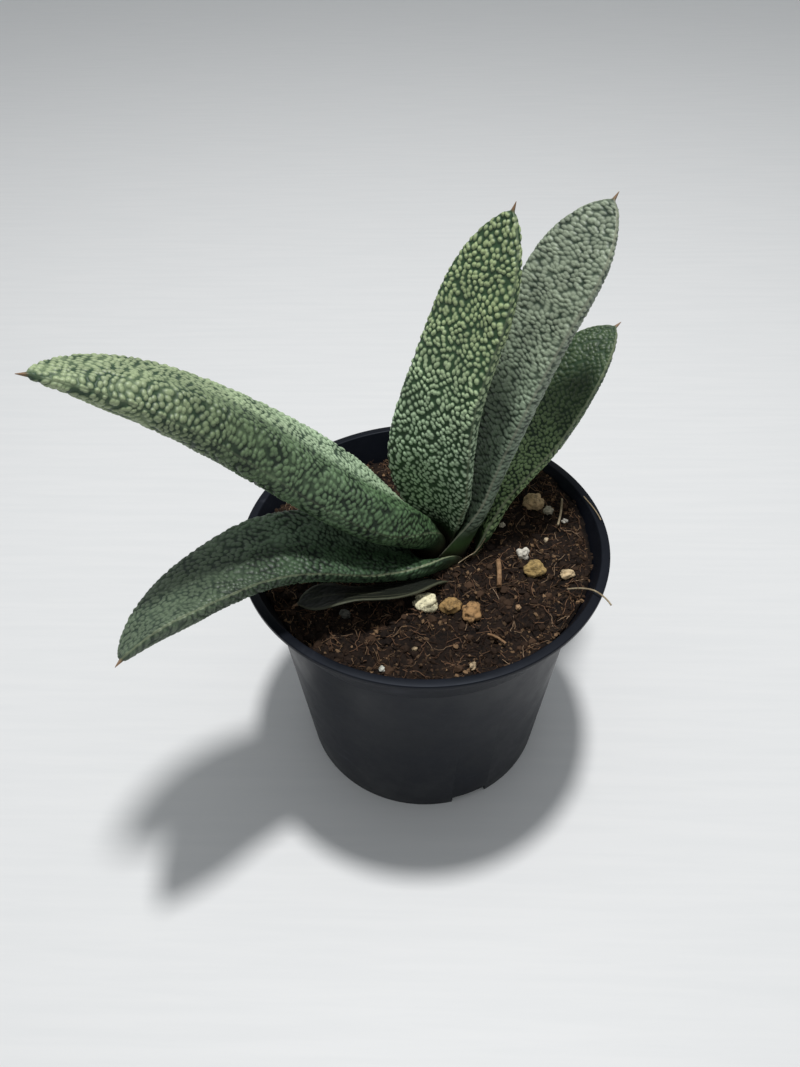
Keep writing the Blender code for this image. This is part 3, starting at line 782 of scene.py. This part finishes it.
def pot_plastic():
    """Black plastic with pebbling, dust and rubbed marks."""
    sheen = {"Specular_IOR_Level": 0.17, "Specular_Tint": (0.80, 0.88, 1.0, 1)}
    material, tree, shader = new_material("pot_plastic", 0.42, **sheen)
    where = add(tree, "ShaderNodeTexCoord").outputs["Object"]
    pebble = speckle(tree, where, 1500, 2.0)
    dust = speckle(tree, where, 60, 6.0, 0.65)
    stretched = {"Vector": where, "Scale": (60, 60, 700)}
    stretched = add(tree, "ShaderNodeMapping", stretched).outputs[0]
    rubbed = speckle(tree, stretched, 1.0, 3.0, 0.6)
    marks = ramp(tree, times(tree, rubbed, dust), 0.36, 0.44)
    colour = blend(tree, ramp(tree, dust, 0.35, 0.75, 0.0, 0.6), PLASTIC, DUSTY)
    colour = blend(tree, times(tree, marks, 0.35), colour, RUBBED)
    tree.links.new(colour, shader.inputs["Base Color"])
    tree.links.new(ramp(tree, dust, 0.3, 0.7, 0.36, 0.5), shader.inputs["Roughness"])
    join_bump(tree, shader, pebble, 0.02 * MM, 0.5)
    return material


# %% Make the pot
pot = new_object("pot_fine", pot_mesh())
cut_slots(pot)
pot.data.shade_smooth()
pot.data.set_sharp_from_angle(angle=math.radians(40))
pot.data.materials.clear()
pot.data.materials.append(pot_plastic())
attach(pot, "root")
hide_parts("pot")
print(f"pot: {len(pot.data.polygons)} faces")

# %% [markdown]
# ## The soil
#
# The pot is filled with fibrous peat: a lumpy dark ground, loose crumbs on it, and a tangle of
# short fibres. The ground is a turned block whose top follows the same hills as the solid. Trees
# then lump the ground and scatter crumbs and fibres over it.

# %% The ground's hills
SOIL_LEVEL = 66 * MM
SOIL_FOOT = FLOOR + 0.3 * MM
SOIL_LUMP = 1.1 * MM
SOIL_LUMP_SIZE = 9 * MM
HEAP = (2.2, 3.0, 3.0)  # rise to the right, to the left and to the back right, in 1 / m
HOLLOW = 4.5  # fall to the front left, in 1 / m
DIP = (-11 * MM, -11 * MM)
DIP_DEPTH = 2.1 * MM
DIP_SIZE = 9 * MM
WALL_GAP = 0.33 * MM
CROWN_REACH = 13 * MM
CROWN_DEPTH = 6 * MM
SOIL_RINGS = 110
SOIL_SIDES = 240


def soil_height(x, y):
    """Height of the soil's surface: heaped towards the back right and low at the front left."""
    right, left, back_right = HEAP
    rise = (right if x > 0 else left) * x * x
    rise += back_right * x * max(y, 0) - HOLLOW * min(x, 0) * min(y, 0)
    rise -= DIP_DEPTH * math.exp(-((x - DIP[0]) ** 2 + (y - DIP[1]) ** 2) / DIP_SIZE**2)
    lumps = noise.noise(Vector((x, y, 0)) / SOIL_LUMP_SIZE)
    lumps += 0.4 * noise.noise(Vector((y, x, 1)) / SOIL_LUMP_SIZE * 2.3)
    return SOIL_LEVEL + rise + SOIL_LUMP * lumps


# %% The block of soil
def top_ring(shape, ring, directions):
    """One ring of points on the soil's top, counted from the middle. The last meets the wall."""
    radius = (inner_radius(SOIL_LEVEL) - WALL_GAP) * ring / SOIL_RINGS
    row = []
    for cosine, sine in directions:
        x, y = radius * cosine, radius * sine
        reach = math.hypot(x - PLANT_X, y - PLANT_Y) / CROWN_REACH
        height = soil_height(x, y) - CROWN_DEPTH * max(0, 1 - reach**4)
        if ring == SOIL_RINGS:
            wall = (inner_radius(height) - WALL_GAP) / radius
            x, y = x * wall, y * wall
        row.append(shape.verts.new((x, y, height)))
    return row


def soil_mesh():
    """The block of soil, closed. Its top sinks inside the leaf bases."""
    angles = [math.tau * side / SOIL_SIDES for side in range(SOIL_SIDES)]
    directions = [(math.cos(angle), math.sin(angle)) for angle in angles]
    shape = bmesh.new()
    rows = [top_ring(shape, ring, directions) for ring in range(1, SOIL_RINGS + 1)]
    for height in (POT_HEIGHT - COLLAR_HEIGHT, SOIL_FOOT):
        radius = inner_radius(height) - WALL_GAP
        rows.append([shape.verts.new((radius * x, radius * y, height)) for x, y in directions])
    sides = [(k, (k + 1) % SOIL_SIDES) for k in range(SOIL_SIDES)]
    for inner, outer in zip(rows, rows[1:]):
        for k, n in sides:
            shape.faces.new((inner[k], outer[k], outer[n], inner[n]))
    top = shape.verts.new((0, 0, sum(v.co.z for v in rows[0]) / SOIL_SIDES))
    foot = shape.verts.new((0, 0, SOIL_FOOT))
    for k, n in sides:
        shape.faces.new((top, rows[0][k], rows[0][n]))
        shape.faces.new((foot, rows[-1][n], rows[-1][k]))
    bmesh.ops.recalc_face_normals(shape, faces=shape.faces)
    return to_mesh(shape, "soil")


# %% [markdown]
# ### Trees for the soil
#
# `ground` pushes the top up and down by noise of two sizes. `crumbs` scatters small balls, pushes
# their points about by noise so that no two are alike, and half sinks them. `fibres` scatters
# short curves, bends them, lays them on the ground and gives them thickness.

# %% Ground tree
def top_faces(tree):
    """True on the faces that look up."""
    normal = add(tree, "GeometryNodeInputNormal").outputs[0]
    up = add(tree, "ShaderNodeSeparateXYZ", {0: normal}).outputs[2]
    return calc(tree, "GREATER_THAN", up, 0.4)


def ground_tree():
    """Lumps the soil's top. Clod is the size of the lumps."""
    tree, given = new_tree("ground", {"Clod": 3.0 * MM, "Height": 1.0 * MM, "Seed": 1})
    place = add(tree, "GeometryNodeInputPosition").outputs[0]
    shift = add(tree, "ShaderNodeCombineXYZ", {2: given["Seed"]}).outputs[0]
    scaled = vector(tree, "ADD", vector(tree, "DIVIDE", place, given["Clod"]), shift)
    clods = calc(tree, "SUBTRACT", speckle(tree, scaled, 1.0, 5.0, 0.62), 0.5)
    rise = times(tree, clods, times(tree, given["Height"], 2.6))
    offset = add(tree, "ShaderNodeCombineXYZ", {2: rise}).outputs[0]
    lumped = move(tree, given["Geometry"], Selection=top_faces(tree), Offset=offset)
    end_tree(tree, lumped, given["Material"])
    return tree


# %% Helpers for scattering
def chance(tree, given, low, high, extra, kind="FLOAT"):
    """A random value for each point or copy. extra keeps the draws of one tree apart."""
    seed = calc(tree, "ADD", given["Seed"], float(extra))
    node = add(tree, "FunctionNodeRandomValue", {"Seed": seed}, data_type=kind)
    first, output = (2, 1) if kind == "FLOAT" else (0, 0)
    node.inputs[first].default_value, node.inputs[first + 1].default_value = low, high
    return node.outputs[output]


def scatter(tree, given, thing, turn, scale):
    """Copies of a thing on the top of the ground. Each keeps a random shade for its material."""
    where = {"Mesh": given["Geometry"], "Selection": top_faces(tree),
             "Density": given["Density"], "Seed": given["Seed"]}
    points = add(tree, "GeometryNodeDistributePointsOnFaces", where).outputs[0]
    copies = {"Points": points, "Instance": thing, "Rotation": turn, "Scale": scale}
    copies = add(tree, "GeometryNodeInstanceOnPoints", copies).outputs[0]
    kept = {"Geometry": copies, "Name": "shade", "Value": chance(tree, given, 0.0, 1.0, 9)}
    settings = {"data_type": "FLOAT", "domain": "INSTANCE"}
    kept = add(tree, "GeometryNodeStoreNamedAttribute", kept, **settings).outputs[0]
    return add(tree, "GeometryNodeRealizeInstances", {0: kept}).outputs[0]


def shove(tree, things, scale, roughness, detail, middle, reach):
    """Pushes points about by noise. middle is the noise that leaves a point where it is."""
    place = add(tree, "GeometryNodeInputPosition").outputs[0]
    sockets = {"Vector": place, "Scale": scale, "Detail": detail, "Roughness": roughness}
    colour = add(tree, "ShaderNodeTexNoise", sockets).outputs["Color"]
    push = vector(tree, "SCALE", vector(tree, "SUBTRACT", colour, middle), reach)
    return move(tree, things, Offset=push)


# %% Crumb tree
def crumb_tree():
    """Rough little balls. Cuts is how finely each is divided."""
    sizes = {"Density": 500000.0, "Size": 1.0 * MM, "Roughness": 0.6, "Cuts": 2, "Seed": 1}
    tree, given = new_tree("crumbs", sizes)
    ball = {"Radius": 0.5, "Subdivisions": given["Cuts"]}
    ball = add(tree, "GeometryNodeMeshIcoSphere", ball).outputs[0]
    size = calc(tree, "POWER", chance(tree, given, 0.45, 1.25, 3), 2.0)
    squash = chance(tree, given, (0.7, 0.7, 0.5), (1.5, 1.2, 0.9), 5, "FLOAT_VECTOR")
    squash = vector(tree, "SCALE", squash, times(tree, given["Size"], size))
    turn = chance(tree, given, (-0.5, -0.5, 0.0), (0.5, 0.5, math.tau), 7, "FLOAT_VECTOR")
    balls = scatter(tree, given, ball, turn, squash)
    reach = times(tree, given["Roughness"], times(tree, given["Size"], 1.6))
    rough = shove(tree, balls, 1400.0, 0.7, 3.0, (0.5, 0.5, 0.5), reach)
    end_tree(tree, rough, given["Material"], smooth=False)
    return tree


# %% Fibre tree
FIBRE_POINTS = 7
FIBRE_SINK = 0.02 * MM
FIBRE_RISE = 1.1 * MM
RAY_START = 20 * MM
RAY_LENGTH = 60 * MM


def draw_in(tree, fibres, reach):
    """Draws in the fibres that would pass through the pot's wall."""
    place = add(tree, "GeometryNodeInputPosition").outputs[0]
    away = vector(tree, "LENGTH", vector(tree, "MULTIPLY", place, (1, 1, 0)))
    share = calc(tree, "MINIMUM", calc(tree, "DIVIDE", reach, away), 1.0)
    share = add(tree, "ShaderNodeCombineXYZ", {0: share, 1: share, 2: 1.0}).outputs[0]
    return move(tree, fibres, Position=vector(tree, "MULTIPLY", place, share))


def lay_down(tree, fibres, ground):
    """Brings the fibres that are under the ground or far above it to just over the surface."""
    place = add(tree, "GeometryNodeInputPosition").outputs[0]
    ray = {"Target Geometry": ground, "Ray Direction": (0, 0, -1), "Ray Length": RAY_LENGTH,
           "Source Position": vector(tree, "ADD", place, (0, 0, RAY_START))}
    found = add(tree, "GeometryNodeRaycast", ray).outputs
    own = add(tree, "ShaderNodeSeparateXYZ", {0: place}).outputs
    floor = add(tree, "ShaderNodeSeparateXYZ", {0: found["Hit Position"]}).outputs[2]
    over = calc(tree, "SUBTRACT", own[2], floor)
    over = calc(tree, "MINIMUM", calc(tree, "MAXIMUM", over, -FIBRE_SINK), FIBRE_RISE)
    settled = {0: own[0], 1: own[1], 2: calc(tree, "ADD", floor, over)}
    settled = add(tree, "ShaderNodeCombineXYZ", settled).outputs[0]
    return move(tree, fibres, Selection=found["Is Hit"], Position=settled)


def fibre_tree():
    """Short curled fibres that lie on the ground."""
    sizes = {"Density": 200000.0, "Length": 5.0 * MM, "Thickness": 0.11 * MM, "Curl": 1.6 * MM,
             "Reach": 40 * MM, "Seed": 1}
    tree, given = new_tree("fibres", sizes)
    line = {"Start": (-0.5, 0, 0), "End": (0.5, 0, 0)}
    line = add(tree, "GeometryNodeCurvePrimitiveLine", line).outputs[0]
    line = {"Curve": line, "Count": FIBRE_POINTS}
    line = add(tree, "GeometryNodeResampleCurve", line).outputs[0]
    share = calc(tree, "POWER", chance(tree, given, 0.5, 1.35, 3), 2.0)
    length = times(tree, given["Length"], share)
    size = add(tree, "ShaderNodeCombineXYZ", {0: length, 1: length, 2: length}).outputs[0]
    turn = chance(tree, given, (0.0, -0.25, 0.0), (0.0, 0.25, math.tau), 5, "FLOAT_VECTOR")
    lines = scatter(tree, given, line, turn, size)
    reach = times(tree, given["Curl"], 4.0)
    bent = shove(tree, lines, 260.0, 0.5, 2.0, (0.5, 0.5, 0.42), reach)
    laid = lay_down(tree, draw_in(tree, bent, given["Reach"]), given["Geometry"])
    section = {"Resolution": 4, "Radius": given["Thickness"]}
    section = add(tree, "GeometryNodeCurvePrimitiveCircle", section).outputs[0]
    solid = {"Curve": laid, "Profile Curve": section, "Fill Caps": True}
    solid = add(tree, "GeometryNodeCurveToMesh", solid).outputs[0]
    end_tree(tree, solid, given["Material"])
    return tree


# %% [markdown]
# ### Soil materials
#
# Damp peat is almost black on the ground between the crumbs, partly its own colour and partly
# painted shade for the gaps, and a warm brown on the crumbs. Fibres run from dark brown to straw.
# Each crumb and fibre is as light as its own shade says, and noise on Object coordinates varies it
# within; the same fine noise dents the surface and darkens its small hollows.

# %% Soil materials
def peat(name, dark, light, scale, own=0.0):
    """own is how much of the lightness comes from the shade kept on each copy."""
    material, tree, shader = new_material(name, 0.9, Specular_IOR_Level=0.2)
    where = add(tree, "ShaderNodeTexCoord").outputs["Object"]
    broad = speckle(tree, where, scale * 0.22, 3.0)
    fine = speckle(tree, where, scale, 5.0, 0.7)
    lightness = ramp(tree, weighted(tree, (broad, 0.35), (fine, 0.65)), 0.35, 0.68)
    if own:
        shade = add(tree, "ShaderNodeAttribute", attribute_name="shade").outputs["Fac"]
        shade = calc(tree, "POWER", shade, 3.0)
        lightness = weighted(tree, (lightness, 1 - own), (shade, own))
    tree.links.new(blend(tree, lightness, dark, light), shader.inputs["Base Color"])
    join_bump(tree, shader, fine, 0.25 * MM, 0.8)
    return material


# %% Make the soil
# the darkest peat, on the ground between the crumbs: its own colour and painted shade for the gaps
PEAT_DARK_AND_SHADE = (0.004, 0.003, 0.0025)
DAMP = (0.008, 0.005, 0.004)
ground = new_object("ground_base", soil_mesh())
ground_peat = peat("peat_ground", PEAT_DARK_AND_SHADE, (0.026, 0.015, 0.010), 1500)
ground = grow("soil_fine", ground, ground_tree(), ground_peat,
              Clod=2.2 * MM, Height=1.6 * MM, Seed=3)


def on_ground(name, tree, material, **sizes):
    """Grows one kind of litter on a copy of the finished ground."""
    base = new_object(name + "_base", ground.data.copy())
    piece = grow(name, base, tree, material, **sizes)
    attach(piece, "root")
    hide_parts("soil")


crumbs = crumb_tree()
fibres = fibre_tree()
on_ground("soil_crumbs", crumbs, peat("peat_crumbs", DAMP, (0.088, 0.050, 0.029), 1100, 0.75),
          Density=185000.0, Size=1.5 * MM, Roughness=0.6, Cuts=2, Seed=11)
on_ground("soil_grit", crumbs, peat("peat_grit", DAMP, (0.30, 0.185, 0.10), 900, 0.85),
          Density=600000.0, Size=0.7 * MM, Roughness=1.6, Cuts=1, Seed=13)
dark_fibre = peat("fibre_dark", (0.02, 0.010, 0.006), (0.28, 0.155, 0.09), 500, 0.85)
on_ground("soil_fibres_dark", fibres, dark_fibre,
          Density=290000.0, Length=3.0 * MM, Thickness=0.08 * MM, Curl=0.9 * MM, Seed=21)
pale_fibre = peat("fibre_pale", (0.12, 0.07, 0.035), (0.55, 0.38, 0.25), 400, 0.6)
on_ground("soil_fibres_pale", fibres, pale_fibre,
          Density=52000.0, Length=3.4 * MM, Thickness=0.07 * MM, Curl=1.0 * MM, Seed=31)
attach(ground, "root")
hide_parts("soil")

# %% [markdown]
# ## Mineral grains
#
# Eight larger grains of pumice and burnt clay lie on the soil. Each starts as a ball with many
# faces, is pushed in and out by noise of three sizes, and is flattened where it meets the ground.

# %% Grains
# name, x, y, length, width and height in mm, turn in degrees, colour
GRAINS = [
    ("grain_white_large", 0.8, -16.8, 6.0, 4.6, 4.2, 10, (0.78, 0.72, 0.48)),
    ("grain_tan_near", 6.3, -17.6, 4.4, 4.0, 3.4, 30, (0.34, 0.21, 0.08)),
    ("grain_orange", 11.1, -20.0, 4.2, 6.0, 3.6, -12, (0.33, 0.19, 0.08)),
    ("grain_white_small", 24.5, -2.0, 3.0, 3.0, 2.8, 0, (0.62, 0.58, 0.50)),
    ("grain_tan_large", 26.8, -7.6, 5.6, 4.2, 3.8, 8, (0.38, 0.26, 0.10)),
    ("grain_cream", 34.2, -10.0, 3.4, 2.2, 2.2, 5, (0.58, 0.44, 0.26)),
    ("grain_tan_back", 28.3, 15.1, 5.2, 4.4, 4.0, -8, (0.48, 0.34, 0.18)),
    ("grain_grey_back", 31.9, 11.7, 2.6, 2.4, 2.2, 0, (0.42, 0.38, 0.28)),
]
GRAIN_SUNK = 0.36  # share of the height that is flattened away
GRAIN_LIFT = 0.66 * MM
GRAIN_BUMPS = [(0.44, 3.1), (0.10, 11), (0.05, 27)]  # depth and fineness


def grain_material(name, colour):
    """Pitted stone, darker in its hollows, where the same noise sinks the bump."""
    material, tree, shader = new_material(name, 0.85)
    where = add(tree, "ShaderNodeTexCoord").outputs["Object"]
    pits = speckle(tree, where, 1500, 4.0, 0.7)
    stain = speckle(tree, where, 500, 3.0)
    dark = tuple(part * 0.35 for part in colour)
    light = tuple(min(1, part * 1.25) for part in colour)
    lightness = ramp(tree, weighted(tree, (pits, 0.6), (stain, 0.4)), 0.36, 0.56)
    tree.links.new(blend(tree, lightness, dark, light), shader.inputs["Base Color"])
    join_bump(tree, shader, pits, 0.3 * MM, 0.8)
    return material


def grain_mesh(x, y, long, wide, high, turn, seed):
    """One rough grain that rests on the soil. Its place and size are in millimetres."""
    shape = bmesh.new()
    bmesh.ops.create_icosphere(shape, subdivisions=4, radius=0.5)
    spin = Matrix.Rotation(math.radians(turn), 3, "Z")
    centre = Vector((x, y, 0)) * MM
    level = soil_height(centre.x, centre.y) + GRAIN_LIFT + (0.5 - GRAIN_SUNK) * high * MM
    for vertex in shape.verts:
        rough = 1
        for axis, (depth, fineness) in enumerate(GRAIN_BUMPS):
            shift = Vector((0, 0, 0))
            shift[axis] = seed
            rough += depth * noise.noise(vertex.co * fineness + shift)
        local = Vector((vertex.co.x * long, vertex.co.y * wide, vertex.co.z * high)) * rough * MM
        place = centre + spin @ local
        place.z = max(level + local.z, soil_height(place.x, place.y) - 0.5 * MM)
        vertex.co = place
    mesh = to_mesh(shape, "grain")
    mesh.shade_smooth()
    return mesh


for seed, (name, x, y, long, wide, high, turn, colour) in enumerate(GRAINS):
    mesh = grain_mesh(x, y, long, wide, high, turn, seed * 7.3)
    grain = new_object(name + "_fine", mesh)
    grain.data.materials.append(grain_material(name + "_stone", colour))
    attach(grain, "root")
    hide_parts(name)
print(f"grains: {len(GRAINS)}")

# %% [markdown]
# ## Small litter
#
# A few specks of pumice, three bits of twig, a root hair and two straws on the rim belong to the
# soil. A speck is a small grain. A twig is a smooth curve with thickness, made into a mesh.

# %% Specks
# x, y and size in mm, colour
SPECKS = [
    (35.7, 7.8, 1.5, (0.62, 0.58, 0.50)),
    (20.0, 8.2, 1.6, (0.62, 0.55, 0.42)),
    (10.9, -35.2, 1.9, (0.55, 0.42, 0.26)),
    (-9.2, -35.3, 1.7, (0.50, 0.50, 0.44)),
    (-18.5, -20.0, 2.6, (0.12, 0.12, 0.10)),
    (-2.0, -30.0, 1.2, (0.40, 0.30, 0.18)),
    (30.5, 2.0, 1.3, (0.45, 0.36, 0.24)),
    (22.0, -19.0, 1.4, (0.35, 0.22, 0.12)),
]
for seed, (x, y, size, colour) in enumerate(SPECKS):
    name = f"speck_{seed}"
    mesh = grain_mesh(x, y, size, 0.8 * size, 0.8 * size, 40 * seed, 90 + seed * 5.1)
    speck = new_object(name, mesh)
    speck.data.materials.append(grain_material(name + "_stone", colour))
    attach(speck, "root")
    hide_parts("soil")
print(f"specks: {len(SPECKS)}")


# %% Twigs
def twig_mesh(name, points, radius):
    """A thin round twig through the points, in millimetres."""
    curve = bpy.data.curves.new(name, "CURVE")
    curve.dimensions = "3D"
    curve.bevel_depth = radius * MM
    curve.bevel_resolution = 2
    curve.use_fill_caps = True
    spline = curve.splines.new("NURBS")
    spline.points.add(len(points) - 1)
    for control, point in zip(spline.points, points):
        control.co = (*(Vector(point) * MM), 1)
    spline.use_endpoint_u = True
    spline.order_u = 3
    spline.resolution_u = 8
    drawn = new_object(name, curve)
    mesh = finished_mesh(drawn)
    bpy.data.objects.remove(drawn)
    mesh.materials.clear()
    return mesh


wood = peat("twig_wood", (0.10, 0.05, 0.025), (0.42, 0.26, 0.14), 700)
straw = peat("twig_straw", (0.20, 0.145, 0.085), (0.46, 0.38, 0.25), 700)
# name, material, radius in mm and points in mm
TWIGS = [
    ("twig_middle", wood, 0.6, [(18.2, -4.8, 69.0), (18.3, -8.7, 68.9), (17.9, -12.8, 68.5)]),
    ("twig_back", straw, 0.28, [(35.4, 13.7, 72.6), (34.9, 9.4, 72.3), (33.5, 5.1, 71.6)]),
    ("twig_front", wood, 0.3, [(14.5, -27.0, 68.0), (16.4, -27.6, 68.3), (18.4, -29.5, 67.9)]),
    ("straw_over_rim", straw, 0.2,
     [(33.5, -15.5, 70.6), (37.4, -17.6, 73.9), (41.0, -21.0, 74.2), (42.0, -22.8, 73.5)]),
    ("straw_on_rim", straw, 0.15,
     [(40.8, 13.6, 73.6), (42.2, 10.7, 73.5), (43.4, 7.6, 73.4), (44.0, 5.2, 73.2)]),
    ("root_hair", straw, 0.12,
     [(8.4, -4.9, 67.9), (10.4, -3.5, 68.6), (13.4, -1.2, 68.5), (15.4, 3.0, 68.9)]),
]
for name, material, radius, points in TWIGS:
    twig = new_object(name, twig_mesh(name, points, radius))
    twig.data.materials.append(material)
    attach(twig, "root")
    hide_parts("soil")
print(f"twigs: {len(TWIGS)}")

# %% [markdown]
# ## The stem
#
# The short stem is hidden by the leaf bases that clasp it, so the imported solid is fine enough. It
# gets a dull brown-green material on its own mesh.

# %% Stem
material, tree, shader = new_material("stem_tissue", 0.6)
where = add(tree, "ShaderNodeTexCoord").outputs["Object"]
stem_colour = blend(tree, speckle(tree, where, 700, 3.0), (0.05, 0.05, 0.022), (0.14, 0.125, 0.07))
tree.links.new(stem_colour, shader.inputs["Base Color"])
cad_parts["stem"].data.materials.clear()
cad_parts["stem"].data.materials.append(material)
print(f"stem: {len(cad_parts['stem'].data.polygons)} faces")

# %% [markdown]
# ## Table and light
#
# The table is plain and pale. One soft lamp hangs almost overhead, a little behind the plant, so
# the shadows fall towards the viewer with edges a centimetre wide. A faint even light from all
# sides keeps the shadows from going black.

# %% Table
TABLE_HALF = 1.5


def table_paint():
    """Pale paint with faint brush strokes."""
    material, tree, shader = new_material("table_paint", 0.55)
    where = add(tree, "ShaderNodeTexCoord").outputs["Object"]
    brushed = {"Vector": where, "Scale": (18, 300, 1)}
    brushed = add(tree, "ShaderNodeMapping", brushed).outputs[0]
    strokes = speckle(tree, brushed, 1.0, 3.0, 0.6)
    colour = blend(tree, ramp(tree, strokes, 0.3, 0.7), (0.785, 0.79, 0.79), (0.81, 0.812, 0.81))
    tree.links.new(colour, shader.inputs["Base Color"])
    join_bump(tree, shader, strokes, 0.03 * MM, 0.4)
    return material


table_mesh = bpy.data.meshes.new("table")
corners = [(x * TABLE_HALF, y * TABLE_HALF, 0) for x, y in ((-1, -1), (1, -1), (1, 1), (-1, 1))]
table_mesh.from_pydata(corners, [], [(0, 1, 2, 3)])
table = new_object("table", table_mesh)
table.data.materials.append(table_paint())
print(f"table: {2 * TABLE_HALF} m square")

# %% Light
LAMP_PLACE = Vector((9, 40, 730)) * MM
LAMP_RADIUS = 34 * MM
LAMP_POWER = 14.3  # watts
ROOM_COLOUR = (0.93, 0.97, 1.0, 1)
ROOM_STRENGTH = 0.38

lamp_data = bpy.data.lights.new("lamp", "POINT")
lamp_data.energy = LAMP_POWER
lamp_data.shadow_soft_size = LAMP_RADIUS
lamp = new_object("lamp", lamp_data)
lamp.location = LAMP_PLACE

world = bpy.data.worlds.new("room")
world.use_nodes = True
room = world.node_tree.nodes["Background"]
room.inputs["Color"].default_value = ROOM_COLOUR
room.inputs["Strength"].default_value = ROOM_STRENGTH
bpy.context.scene.world = world
print(f"lamp: {LAMP_POWER} W, {LAMP_PLACE.z / MM:.0f} mm above the table")
